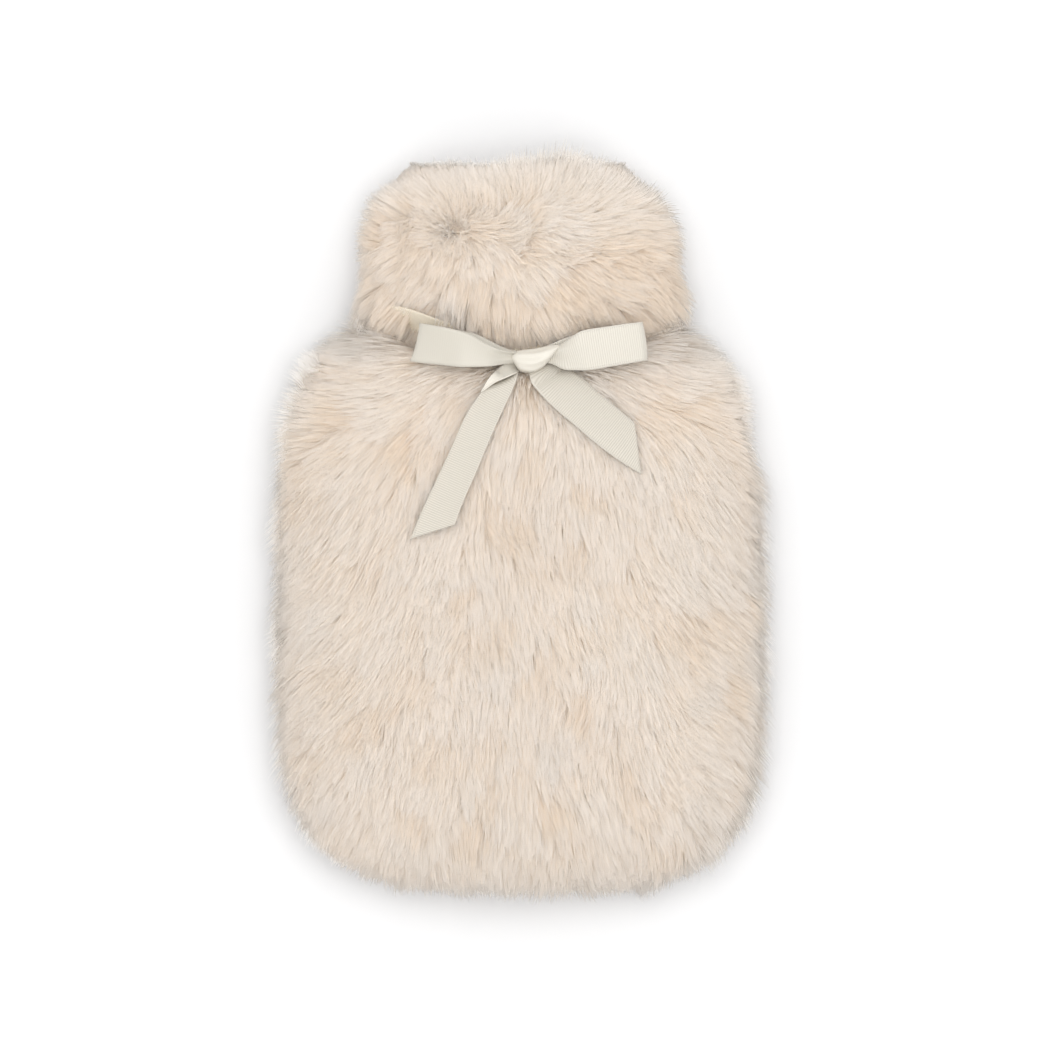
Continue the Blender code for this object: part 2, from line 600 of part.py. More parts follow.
def main():
    """Builds the cover: two panels, a collar, the locks at their rims and the ribbon."""
    clear_scene()
    cover = new_collection("bottle_cover")
    helpers = new_collection("ribbon_forms", hidden=True)
    fur = cloth_material("cream_fur", (0.78, 0.68, 0.58), 0.9)
    ribbon = cloth_material("ivory_grosgrain", (0.88, 0.86, 0.78), 0.55)
    panel("front_panel", 1, FRONT_COLUMNS, (BEND_ROWS, BODY_ROWS), cover, fur)
    panel("back_panel", -1, BACK_COLUMNS, (BACK_BEND_ROWS, BACK_BODY_ROWS), cover, fur)
    collar_tube(cover, fur)
    foot = BEND_Y - BEND_REACH * (1 - (1 - np.linspace(1.0, 0.0, 60))**2)
    body_rows = np.concatenate([foot, np.linspace(BEND_Y, 0.0868, 60)[1:]])
    seam_locks("body_locks", body_rows, (-1, 1), 92, cover, fur)
    collar_rows = np.linspace(0.1140, 0.1665, 40)
    seam_locks("collar_locks_left", collar_rows, (-1,), 7, cover, fur)
    seam_locks("collar_locks_right", collar_rows, (1,), 7, cover, fur)
    mouth_locks(28, cover, fur)
    neck_ribbon(cover, helpers, ribbon)


main()
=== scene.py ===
import itertools
import math
from collections import namedtuple

import bpy
import numpy as np
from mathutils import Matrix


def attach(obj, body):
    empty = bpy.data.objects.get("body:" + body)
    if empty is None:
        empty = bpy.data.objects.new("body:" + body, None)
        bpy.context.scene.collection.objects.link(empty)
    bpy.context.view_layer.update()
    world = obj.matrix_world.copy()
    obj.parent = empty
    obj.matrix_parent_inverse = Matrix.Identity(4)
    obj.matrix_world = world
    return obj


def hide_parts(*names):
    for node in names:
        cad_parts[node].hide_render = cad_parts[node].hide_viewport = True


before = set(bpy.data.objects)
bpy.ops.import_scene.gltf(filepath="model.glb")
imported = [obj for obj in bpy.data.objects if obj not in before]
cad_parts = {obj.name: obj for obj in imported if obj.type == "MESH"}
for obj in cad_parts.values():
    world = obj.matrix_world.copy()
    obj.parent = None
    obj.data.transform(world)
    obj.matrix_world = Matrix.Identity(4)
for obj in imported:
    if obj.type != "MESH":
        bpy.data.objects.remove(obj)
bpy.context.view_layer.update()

bl_info = {
    "name": "Fur bottle cover",
    "version": (1, 0, 0),
    "blender": (4, 5, 0),
    "location": "3D View > Sidebar > Bottle cover",
    "description": "Dresses a hot water bottle cover with long pile and a ribbon bow",
    "category": "Object",
}

# ---- the cover's form
SEAM_Z = 0.023  # height of the side seam
BACK_WALL = 0.008  # least height of the hollow
JOIN_Y = 0.100  # middle of the neck, where the ribbon is tied
MOUTH_Y = 0.173  # the collar's open end
BEND_Y = -0.065  # where the widths begin to close in to the foot
BEND_REACH, HOLLOW_REACH = 0.1118, 0.0985  # from there to the foot, outside and in the hollow
TOE_Y = -0.115  # where the heights begin to close in to the foot
BEND_POWER, TOE_POWER = 3.8, 2.4
SIDE_POWER, BACK_POWER, CROWN_POWER = 2.5, 3.2, 2.2  # of the cross sections
NECK_HALF = 0.0615
NECK_DIP, NECK_DIP_REACH = 0.016, 0.045
SEAMS = (-math.pi / 2, math.pi / 2)  # the fan at the left and the right seam

# Cross sections in mm: place along the cover, push along it at the sides, half-width at the left
# and at the right, top, base.
OUTSIDE = np.array([
    (-65, 0, 116.5, 116.5, 62.5, -6),
    (-20, 0, 117, 116.5, 64, -6),
    (20, 0, 116, 114.5, 62.5, -6),
    (40, 0, 113.5, 112, 60.5, -6),
    (60, 0, 107.5, 106, 58, -6),
    (74, 0, 100.5, 99, 55, -5),
    (82, 1.5, 95.5, 94, 53, -4),
    (87, 4, 88.5, 87, 51, -3),
    (89.2, 6, 79, 78, 48.5, -1),
    (90.2, 3, 69.5, 69, 46, 1),
    (91, 0, 62, 62, 43.5, 3),
    (109, 0, 61.5, 61.5, 43.5, 3),
    (110, -2.5, 68, 68.5, 47, 1),
    (111.2, -6, 74.5, 75.5, 51, -1),
    (116, -4, 79, 80, 56, -3),
    (124, 0, 79.5, 79.5, 59, -5),
    (134, 0, 79, 77.5, 60, -5),
    (144, 0, 76.5, 74.5, 58, -5),
    (154, 0, 72.5, 69, 55, -4),
    (163, 0, 66, 61.5, 51, -2),
    (169, 0, 61.5, 58, 48, 1),
    (173, 0, 56, 53.5, 45, 3),
]) / 1000
INSIDE = np.array([
    (-65, 0, 100, 100, 49, 6),
    (20, 0, 99.5, 99, 48.5, 6),
    (50, 0, 93, 92, 46, 6),
    (70, 0, 83, 82, 43, 7),
    (83, 0, 68, 67.5, 40, 8),
    (91, 0, 57, 57, 38, 8.5),
    (109, 0, 56.5, 56.5, 38, 8.5),
    (124, 0, 62, 62, 43, 8),
    (154, 0, 57, 55, 41, 8),
    (173, 0, 49, 46.5, 38.5, 9),
]) / 1000

# ---- the ribbon's form
RIBBON_THICK = 0.0005
RIBBON_COLUMNS = 13
BAND_HALF = 0.0079  # half-width of the ribbon round the neck
BAND_CLEAR = 0.0011
BAND_STEPS, LOOP_STEPS, TAIL_STEPS = 241, 110, 60
LOOP_CURL, TAIL_CURL = -0.0006, 0.0005
LEFT_PLEAT, RIGHT_PLEAT = 0.0006, 0.0005
STRIP_GAP = 0.01  # between the strips' runs on the ribbon's map
PLAN_CELL = 0.0005  # of the grid of the ribbon's underside
# The ribbon's faces, of which the ribbed and the shaded ribbed ones have deep ribs, and the factors
# of its colour between the ribs and in their grooves, where the darker colour is painted shade. The
# faces are painted lit and shaded copies of one ribbon: the smooth lit one (twist and knot) is
# painted lighter, the warm lit one (band) is painted with warm light as through the pile, and the
# shaded ribbed one (tails) and the smooth shaded one (left loop) are painted shade.
SMOOTH_LIT, RIBBED, RIBBED_SHADED, WARM_LIT, SMOOTH_SHADED = range(5)
RIBBON_FACES = (
    # smooth, painted lighter: the twist and the knot
    ((1.05, 1.05, 1.05), (0.92, 0.91, 0.89)),
    ((1.00, 1.00, 1.00), (0.88, 0.87, 0.85)),
    # ribbed, painted shade: the tails
    ((0.92, 0.905, 0.89), (0.76, 0.74, 0.71)),
    # painted warm light: the band
    ((1.08, 1.03, 0.945), (1.00, 0.95, 0.86)),
    # smooth, painted shade: the left loop
    ((0.85, 0.845, 0.83), (0.77, 0.76, 0.74)),
)
# Rungs of the ribbon in mm: x, y and z of its upper edge, then of its lower edge. The heights of
# the twist and the tails are over the pile.
LEFT_LOOP = np.array([
    (2, 84.5, 49, 2, 79, 49),
    (-6, 86.2, 51, -5, 80, 50),
    (-23.5, 94, 53.5, -20, 78, 52),
    (-42, 97.2, 54, -42, 79.8, 53.5),
    (-48.8, 98.6, 56.6, -53.3, 80.2, 54.6),
    (-47.2, 98.3, 59.8, -51.4, 79.7, 56),
    (-36, 96.2, 64.2, -39.5, 78.3, 59),
    (-25.5, 93.4, 64, -27, 77.1, 62.6),
    (-16, 88.2, 61.2, -16, 77.4, 61.8),
    (-8, 85.3, 58, -7, 78.6, 56),
    (3, 84.2, 53.5, 3, 79.7, 52),
]) / 1000
RIGHT_LOOP = np.array([
    (7, 84.5, 49, 7, 79, 49),
    (15, 88.5, 51, 15, 79.5, 50),
    (30, 94, 52.5, 30, 78, 52),
    (50, 97.5, 53.5, 51, 79.5, 53.5),
    (59.4, 99.1, 56.2, 61.9, 80.4, 55.8),
    (57.5, 98.9, 60, 59.7, 80.1, 59.5),
    (43, 96.9, 62.8, 44, 77.4, 61.8),
    (30, 94.7, 62.2, 31, 75.6, 60.5),
    (24, 91, 59.8, 23.2, 75.8, 57.5),
    (18.5, 87.6, 56, 15, 79, 53.5),
    (11, 85, 51.5, 8, 80, 51),
]) / 1000
LEFT_TWIST = np.array([
    (2, 80, 4, 3.5, 77.5, 4),
    (-6.8, 79, 7.6, -1.5, 74.5, 7.2),
    (-11, 76.2, 8.8, -6.2, 72.4, 8),
    (-15.2, 71.7, 8.2, -12.2, 69.6, 7.8),
    (-19, 65, 6.6, -18.3, 65.3, 6.6),
]) / 1000
LEFT_TAIL = np.array([
    (-17.8, 66.4, 6, -1, 75.6, 6.6),
    (-19.3, 64.2, 5.8, -1.3, 72.8, 6.4),
    (-21.8, 60.8, 4.6, -3, 67.6, 5.2),
    (-26.3, 54, 2.8, -7.5, 58, 3.2),
    (-33, 39, 2, -13.8, 44, 2),
    (-41.3, 21, 2, -21.2, 26.2, 2),
    (-48, 6.5, 2, -27.8, 11, 2),
    (-53.4, -6.6, 2, -31.8, 0.4, 2),
]) / 1000
RIGHT_TAIL = np.array([
    (12, 80, 6, 4, 76.5, 6),
    (19, 78.5, 7, 5.2, 70.5, 7.4),
    (22.8, 77, 6, 9, 65.2, 6),
    (28.5, 73.4, 3.8, 15.9, 58, 3.6),
    (39.2, 64, 2, 26.8, 48.7, 2),
    (48.4, 56.3, 2, 37.1, 39.9, 2),
    (54, 51.6, 2, 48, 31.8, 2),
    (55.6, 50.2, 2, 59, 25, 2),
]) / 1000
# The knot: shares of the way from its left to its right end, and x and y of its edges there in mm.
KNOT_X, KNOT_Z = 0.0052, 0.0536
KNOT_HIGH, KNOT_TILT = 0.0056, 0.0012
KNOT_AT = np.array([0.0, 0.2, 0.45, 0.75, 1.0])
KNOT_TOP = np.array(
    [(-5.8, 83.8), (-1.2, 85.2), (6.2, 86.0), (14.8, 88.0), (21.5, 89.2)]) / 1000
KNOT_FOOT = np.array(
    [(-2.8, 78.5), (0.3, 75.0), (5.0, 74.2), (11.0, 77.0), (16.5, 83.5)]) / 1000

# ---- the pile
UNDER = 0.40  # share of the way from the cover's outside to its hollow where strands are rooted
SPANS = np.array([0.40, 0.33, 0.27])  # the parts of a strand, from its root
BENDS = np.array([1.00, 0.64, 0.36])  # how the angle over the cloth falls along a strand
WIDTHS = np.array([0.80, 1.00, 0.65])
SHADES = 64  # rows of the strands' colour map; the last is for guard hairs
PLASTIC = np.array([0.7548776662, 0.5698402910])  # steps of an even sequence in two dimensions
GOLDEN = 0.618034  # and in one
SPREADS = {"turn": 0.09, "wander": 0.18, "uneven": 0.14, "droop": 0.04, "rough": 0.10,
           "under": 5.0}
GUIDE_SPREADS = {"turn": 0.23, "wander": 0.32, "uneven": 0.14, "rough": 0.24}
FINE_CELL, COARSE_CELL = 0.008, 0.016
# How far strands are drawn to their guides, from root to tip.
TO_COARSE = (0.0, 0.20, 0.45, 0.55)
TO_FINE_COLLAR, TO_FINE_BODY = (0.0, 0.19, 0.40, 0.50), (0.0, 0.12, 0.28, 0.36)
# One strand in so many of the collar's stands on its open end, at these depths.
HEM_EVERY, HEM_FIRST = 12, 5
HEM_START, HEM_END = 0.08, 0.87
HEM_LENGTH, HEM_LIFT = 0.6, 1.35
# The collar's parting: its middle, its half-width in x, and the crown on it.
PARTING_X, PARTING_Y, PARTING_HALF = -0.012, 0.1445, 0.030
CROWN_X, CROWN_Y = -0.032, 0.1435
# Pairs for the front and the back: how far strands turn down at the sides and at the toe, and how
# much shorter they are there.
SIDE_FALL, TOE_FALL, TOE_SHORT = (-0.35, 0.12), (0.7, 0.6), (0.0, 0.45)
# Zones of the pile, each a place and a reach, in x or y.
RIM, TUFT, CORNER = (0.150, 0.022), (0.028, 0.022), (0.030, 0.024)
WAIST, BELLY, CALM = (0.115, 0.012), (0.130, 0.009), (0.147, 0.014)
TOP, SHOULDER, SLOPE = (0.020, 0.050), (0.030, 0.040), (0.050, 0.014)

# ---- the stage
FLOOR_HALF = 3.0
LAMP_SIZE, LAMP_AT = 0.9, (0.05, 0.16, 1.34)
LENS, SENSOR, CAMERA_AT = 300.0, 36.0, (0.0024, 0.0003, 4.318)  # lens and sensor in mm


def ease(values):
    """Smooth step of values that run from 0 to 1: 3t^2 - 2t^3."""
    held = np.clip(values, 0.0, 1.0)
    return held * held * (3.0 - 2.0 * held)


def rise(values, start, reach):
    """Smooth step from 0 at the start to 1 a reach further on."""
    return ease((values - start) / reach)


def bell(values, middle, reach):
    """Bell curve: e to the power of minus the square of the distance from the middle in reaches."""
    return np.exp(-((values - middle) / reach)**2)


def unit(vectors):
    """Each vector divided by its length."""
    return vectors / np.maximum(np.linalg.norm(vectors, axis=-1, keepdims=True), 1e-12)


def through(places, values, at):
    """Monotone cubic: between two places the value follows the Hermite cubic whose slopes are the
    harmonic means of the slopes on either side."""
    step = np.diff(places)
    slope = np.diff(values) / step
    inner = np.where(slope[1:] * slope[:-1] > 0,
                     2 * slope[1:] * slope[:-1] / (slope[1:] + slope[:-1] + 1e-12), 0.0)
    tangent = np.concatenate([slope[:1], inner, slope[-1:]])
    i = np.clip(np.searchsorted(places, at) - 1, 0, len(step) - 1)
    t = np.clip((at - places[i]) / step[i], 0.0, 1.0)
    rest = 1.0 - t
    return (values[i] * (1 + 2 * t) * rest**2 + tangent[i] * step[i] * t * rest**2
            + values[i + 1] * t**2 * (3 - 2 * t) - tangent[i + 1] * step[i] * t**2 * rest)


def along_line(points):
    """Way run along a line up to each of its points: the sum of the steps before it."""
    return np.concatenate([[0.0], np.cumsum(np.linalg.norm(np.diff(points, axis=0), axis=1))])


def sections_at(place, table, reach):
    """Push, half-widths, rise and drop at places along the cover. Past the bend the widths follow
    (1 - s^p)^(1/p), and past the toe the heights do, with s the share of the reach."""
    push, left, right, top, base = (
        through(table[:, 0], table[:, k], np.maximum(place, BEND_Y)) for k in range(1, 6))
    bend = np.clip((BEND_Y - place) / reach, 0.0, 1.0).round(9)
    toe = np.clip((TOE_Y - place) / (reach + TOE_Y - BEND_Y), 0.0, 1.0).round(9)
    narrow = (1 - bend**BEND_POWER) ** (1 / BEND_POWER)
    shallow = (1 - toe**TOE_POWER) ** (1 / TOE_POWER)
    return push, left * narrow, right * narrow, (top - SEAM_Z) * shallow, (SEAM_Z - base) * shallow


def pulled(place, fan, face):
    """How far the knot pulls the front of the neck: a bell curve along the cover times cos^2."""
    pull = NECK_DIP * bell(place, JOIN_Y, NECK_DIP_REACH) * np.cos(fan)**2
    return np.where(face > 0, pull, 0.0)


def skin(place, fan, face, inside=False):
    """Points of the cover: x = half-width * sin(fan), z = seam + height * (1 - |sin|^p)^(1/q), and
    y = place, pushed out at the sides and pulled in at the front by the neck."""
    push, left, right, rise_z, drop = sections_at(
        place, INSIDE if inside else OUTSIDE, HOLLOW_REACH if inside else BEND_REACH)
    across = np.sin(fan)
    x = across * np.where(across > 0, right, left)
    power = np.where(face > 0, SIDE_POWER, BACK_POWER)
    depth = np.clip(1 - np.abs(across)**power, 0.0, 1.0) ** (1 / CROWN_POWER)
    z = SEAM_Z + np.where(face > 0, rise_z, -drop) * depth
    y = place + push * across**4 - pulled(place, fan, face)
    return np.stack([x, y, np.maximum(z, BACK_WALL if inside else 0.0)], axis=-1)


def place_at(run, reach):
    """Place along the cover: run goes from -1 at the foot, by 0 at the bend and 1 at the neck, to 2
    at the collar's mouth."""
    foot = BEND_Y + run * reach
    body = BEND_Y + run * (JOIN_Y - BEND_Y)
    collar = JOIN_Y + (run - 1) * (MOUTH_Y - JOIN_Y)
    return np.where(run < 0, foot, np.where(run < 1, body, collar))


def layer(run, fan, face, depth):
    """Points of the cover on the way from its outside at depth 0 to its hollow at depth 1."""
    outer = skin(place_at(run, BEND_REACH), fan, face)
    inner = skin(place_at(run, HOLLOW_REACH), fan, face, inside=True)
    return outer + (inner - outer) * depth


def layer_normal(run, fan, face, depth):
    """Outward normals of a layer: the cross product of its slopes across and along."""
    across = layer(run, fan + 0.004, face, depth) - layer(run, fan - 0.004, face, depth)
    along = layer(run + 0.003, fan, face, depth) - layer(run - 0.003, fan, face, depth)
    return unit(np.cross(across, along) * np.where(face > 0, 1.0, -1.0)[..., None])


def ripple(points, size, seed):
    """Smooth noise from -1 to 1: random numbers on a cubic lattice of the given pitch, blended
    between the eight corners of a cell by the smooth step."""
    table = np.random.default_rng(seed).uniform(-1, 1, (32, 32, 32))
    place = points / size
    cell = np.floor(place).astype(int)
    part = ease(place - cell)
    total = 0.0
    for corner in itertools.product((0, 1), repeat=3):
        share = np.prod(np.where(corner, part, 1 - part), axis=-1)
        i, j, k = np.moveaxis((cell + corner) % 32, -1, 0)
        total = total + share * table[i, j, k]
    return total


# ---- meshes
def placed(name, data, location=(0.0, 0.0, 0.0)):
    """An object of this data, in the scene."""
    made = bpy.data.objects.new(name, data)
    made.location = location
    bpy.context.scene.collection.objects.link(made)
    return made


def mesh_object(name, points, faces, material, smooth=True):
    """An object of these points and these faces, given as an array of vertex numbers whose rows
    are filled up with -1."""
    sizes = (faces >= 0).sum(axis=1)
    mesh = bpy.data.meshes.new(name)
    mesh.vertices.add(len(points))
    mesh.vertices.foreach_set("co", np.asarray(points, dtype=np.float32).ravel())
    mesh.loops.add(int(sizes.sum()))
    mesh.loops.foreach_set("vertex_index", faces[faces >= 0].astype(np.int32))
    mesh.polygons.add(len(faces))
    starts = np.concatenate([[0], np.cumsum(sizes)[:-1]])
    mesh.polygons.foreach_set("loop_start", starts.astype(np.int32))
    mesh.update(calc_edges=True)
    mesh.polygons.foreach_set("use_smooth", np.full(len(faces), smooth))
    mesh.materials.append(material)
    return placed(name, mesh)


def set_map(mesh, name, coordinates):
    """A UV map from an array of one (u, v) for each vertex."""
    corners = np.empty(len(mesh.loops), dtype=np.int32)
    mesh.loops.foreach_get("vertex_index", corners)
    made = mesh.uv_layers.new(name=name)
    made.data.foreach_set("uv", np.asarray(coordinates, dtype=np.float32)[corners].ravel())


def grid_faces(rows, columns, start=0, flipped=False, wrapped=False):
    """The quads of a grid of rows by columns of vertices."""
    index = start + np.arange(rows * columns).reshape(rows, columns)
    if wrapped:
        index = np.concatenate([index, index[:, :1]], axis=1)
    quads = np.stack([index[:-1, :-1], index[:-1, 1:], index[1:, 1:], index[1:, :-1]], axis=-1)
    quads = quads.reshape(-1, 4)
    return quads[:, ::-1] if flipped else quads


def bridge(first, second):
    """The quads between two lines of vertex numbers of the same length."""
    return np.stack([first[:-1], first[1:], second[1:], second[:-1]], axis=-1)


# ---- the strands
def body_density(points, face):
    """The body's pile is even at the front. At the back it is thin where the cover rests on the
    floor and thick above that."""
    return 1.0 if face > 0 else np.where(points[..., 2] < 0.0065, 0.25, 1.6)


def collar_density(points, face):
    """The collar's pile is thinner at the back, and at the front thicker round the crown: a bell
    curve of the distance from it."""
    off = np.hypot(points[..., 0] - CROWN_X, points[..., 1] - CROWN_Y)
    return 1 + 2.6 * bell(off, 0.0, 0.008) if face > 0 else np.full(off.shape, 0.6)


def even_roots(panel, count, seed):
    """Places of roots, spread evenly by area: an even sequence in the unit square, taken through
    the running sums of a grid's cell areas times the density there."""
    rows, columns = 160, 140
    run = np.linspace(*panel.runs, rows + 1)
    fan = np.linspace(*SEAMS, columns + 1)
    tables = []
    for face in panel.faces:
        a, b = np.meshgrid(run, fan, indexing="ij")
        at = layer(a, b, np.full(a.shape, face), UNDER)
        area = np.linalg.norm(np.cross(at[1:, :-1] - at[:-1, :-1], at[:-1, 1:] - at[:-1, :-1]),
                              axis=-1)
        density = collar_density if panel.collar else body_density
        tables.append(area * density((at[1:, 1:] + at[:-1, :-1]) / 2, face))
    weight = np.concatenate(tables, axis=1)
    by_row = weight.sum(axis=1)
    row_sum = np.concatenate([[0.0], np.cumsum(by_row)]) / by_row.sum()
    inner = np.cumsum(weight, axis=1) / np.maximum(by_row[:, None], 1e-12)
    u = (np.arange(count)[:, None] * PLASTIC + 0.5 + 0.1234 * seed) % 1.0
    row = np.clip(np.searchsorted(row_sum, u[:, 0]) - 1, 0, rows - 1)
    part = (u[:, 0] - row_sum[row]) / np.maximum(row_sum[row + 1] - row_sum[row], 1e-12)
    flat = (inner + np.arange(rows)[:, None]).ravel()
    wide = weight.shape[1]
    column = np.clip(np.searchsorted(flat, row + u[:, 1] * 0.999999) - row * wide, 0, wide - 1)
    side, column = column // columns, column % columns
    run_at = run[row] + np.clip(part, 0, 1) * (run[1] - run[0])
    across = np.random.default_rng(seed).uniform(0, 1, count)
    return run_at, fan[column] + across * (fan[1] - fan[0]), np.array(panel.faces)[side]


def nap(points, face, collar):
    """Directions in which the pile lies, before they are laid on the cloth. On the body they turn
    from the foot's way at the middle line towards the sides, most of all at the shoulders. On the
    collar they lead away from the parting, down to the ribbon and up to the mouth."""
    x, y = points[..., 0], points[..., 1]
    if collar:
        low, high = rise(-y, -PARTING_Y, 0.030), rise(y, PARTING_Y, 0.012)
        middle = -0.026 * (1 - low) * (1 - high) - 0.010 * low
        way_x = (x - middle) / 0.050 + 0.24 * ripple(points, 0.020, 5)
        way_x = way_x + 0.1 * (1 - low) * (1 - high)
        way_y = (y - PARTING_Y) / (0.026 - 0.010 * high) + 0.30 * ripple(points, 0.020, 6)
        way_y = np.where(face > 0, way_y, -1.0 + 1.2 * high)
    else:
        share = x / 0.118
        turn = np.radians(60) * share * np.abs(share)**0.5
        turn = turn * (1 - 0.40 * rise(-y, 0.07, 0.09))
        shoulder = np.where(share < 0, np.radians(98), np.radians(76)) * np.abs(share)**0.8
        turn = turn + np.sign(share) * shoulder * rise(y, *SHOULDER)
        turn = turn + np.radians(15) * ripple(points, 0.040, 7)
        turn = turn + np.radians(11) * ripple(points, 0.016, 8)
        way_x, way_y = np.sin(turn), -np.cos(turn)
    return unit(np.stack([way_x, way_y, np.zeros(x.shape)], axis=-1))


def turned(vectors, axes, angles):
    """The vectors turned about unit axes that stand square to them: v cos a + (k x v) sin a."""
    return (vectors * np.cos(angles)[..., None]
            + np.cross(axes, vectors) * np.sin(angles)[..., None])


class Pile:
    """The strands of a panel: their roots, their normals, and the points of each, row by row."""

    def __init__(self, panel, count, seed, values):
        """Each strand has a laid direction, a length and a lift over the cloth: the panel's own,
        times factors of random draws, smooth noise and the zone that its root is in. Every third
        strand is wide and low and stands for the dense pile below the others. On the collar some
        strands are moved to its open end, where they point out of it."""
        collar = panel.collar
        chance = np.random.default_rng(seed)
        run, fan, face = even_roots(panel, count, seed)
        number, front = np.arange(count), face > 0
        hem = (number % HEM_EVERY == HEM_FIRST) & collar
        run = np.where(hem, 2.0, run)
        inward = np.where(hem, HEM_START + (HEM_END - UNDER) * (number * GOLDEN % 1.0), 0.0)
        self.root = layer(run, fan, face, UNDER + inward[:, None])
        outward = layer_normal(run, fan, face, UNDER)
        ahead = unit(0.1 * outward + [0.0, 1.0, 0.0])
        self.normal = np.where(hem[:, None], ahead, outward)
        self.level = 1 - np.abs(self.normal[:, 2])
        self.toe = np.clip(-self.normal[:, 1], 0.0, 1.0)**3
        way = np.where(hem[:, None], outward, nap(self.root, face, collar))
        fall = np.where(front, *SIDE_FALL) * self.level - np.where(front, *TOE_FALL) * self.toe
        way = way + fall[:, None] * [0.0, 0.0, 1.0]
        way = unit(way - self.normal * (way * self.normal).sum(axis=1, keepdims=True))
        spread = values["turn"] * chance.normal(0, 1, count)
        spread = spread + values["wander"] * ripple(self.root, 0.012, seed + 1)
        parting = crown = np.zeros(count)
        if collar:
            x, y = self.root[:, 0], self.root[:, 1]
            off = np.maximum(np.abs(x - PARTING_X) - PARTING_HALF, 0.0)
            parting = bell(np.hypot(off, y - PARTING_Y), 0.0, 0.011) * front
            crown = bell(np.hypot(x - CROWN_X, y - CROWN_Y), 0.0, 0.006) * front
        spread = spread * (1 + 2.8 * parting + 6.0 * crown)
        self.way = turned(way, self.normal, spread)
        lift = values["lift"] * (1 + values["rough"] * chance.normal(0, 1, count))
        lift = lift * (1 + 0.35 * ripple(self.root, 0.015, seed + 3))
        lift = lift * (1 + 0.25 * parting + 0.1 * crown)
        length = values["length"] * (1 + values["uneven"] * chance.normal(0, 1, count))
        length = length * (1 + 0.18 * ripple(self.root, 0.018, seed + 2))
        if collar:
            length, lift = self.on_collar(length, lift, hem)
        else:
            length, lift = self.on_body(length, lift, front)
        lift = lift * (1 - 0.26 * (1 - self.level))
        self.under = number % 3 == 0
        wide = (values["under"] - 1) * (1 - 0.8 * self.level) * (1 - 0.4 * crown)
        self.thick = np.where(self.under, 1 + wide, 1.0)
        length = np.where(self.under, 0.74, 1.0) * length
        self.length = np.clip(length, 0.35 * values["length"], 1.5 * values["length"])
        self.lift = np.clip(np.where(self.under, 0.82, 1.0) * lift, 0.12, 1.45)
        self.lock = number
        self.calm = rise(self.root[:, 1], *CALM) * collar
        self.grow(values["droop"])

    def on_collar(self, length, lift, hem):
        """Lengths and lifts on the collar: shorter towards the mouth, most of all at its corners
        but less at a tuft, longer at the waist beside the ribbon, shorter at the belly over it."""
        x, y, aside = self.root[:, 0], self.root[:, 1], np.abs(self.normal[:, 0])
        rim = rise(y, *RIM)
        length = length * (1.10 - 0.50 * rim + 0.22 * rim * ripple(self.root, 0.017, 61))
        corner = np.where(x < 0, 0.58, 0.46) * rise(np.abs(x), *CORNER)
        length = length * (1 + rim * (0.32 * bell(x, *TUFT) - corner))
        waist, belly = aside * (1 - rise(y, *WAIST)), aside * bell(y, *BELLY)
        length = length * (1 + 0.8 * waist - 0.35 * belly)
        return length * np.where(hem, HEM_LENGTH, 1.0), np.where(hem, HEM_LIFT, 0.85 * lift)

    def on_body(self, length, lift, front):
        """Lengths and lifts on the body: longer and lower towards the neck, longer at the sides,
        shorter at the foot's corners, on the right shoulder's slope and at the back's toe."""
        x, y, aside = self.root[:, 0], self.root[:, 1], np.abs(self.normal[:, 0])
        top = rise(y, *TOP)
        length = length * (1 + 0.28 * top)
        length = length * (1 + aside * np.where(x > 0, 0.18, 0.09))
        corner = 2 * aside * np.maximum(-self.normal[:, 1], 0.0)
        length = length * (1 - np.where(x > 0, 0.20, 0.34) * corner)
        slope = np.maximum(self.normal[:, 0], 0.0) * bell(y, *SLOPE)
        length = length * (1 - 0.35 * slope) * (1 - np.where(front, *TOE_SHORT) * self.toe)
        return length, lift * (1 - 0.26 * top)

    def grow(self, droop):
        """Each strand is a chain of steps. The angle over the cloth falls by BENDS, less so at the
        cover's sides, and its weight turns it down a little more with each step."""
        flat = 1 - 0.75 * self.level
        angle = self.lift[:, None] * (1 - (1 - BENDS) * flat[:, None])
        step = (self.length[:, None] * SPANS)[..., None]
        way = (self.normal[:, None] * np.sin(angle)[..., None]
               + self.way[:, None] * np.cos(angle)[..., None])
        way = way + np.array([0, 0, -1.0]) * droop * np.arange(len(BENDS))[:, None]
        chain = np.cumsum(unit(way) * step, axis=1)
        chain = np.concatenate([np.zeros_like(chain[:, :1]), chain], axis=1)
        self.points = self.root[:, None] + chain

    def gather(self, guides, cell, strength):
        """Draws the strands to the shape of the nearest guide, more and more towards the tips, so
        that they form a lock."""
        near = nearest(self.root, guides.root, cell)
        self.lock = guides.lock[near]
        apart = (self.root - guides.root[near])[:, None]
        aim = guides.points[near] + 0.45 * apart
        pull = np.array(strength)[:, None] * (1 - 0.8 * self.calm)[:, None, None]
        self.points = self.points + (aim - self.points) * pull


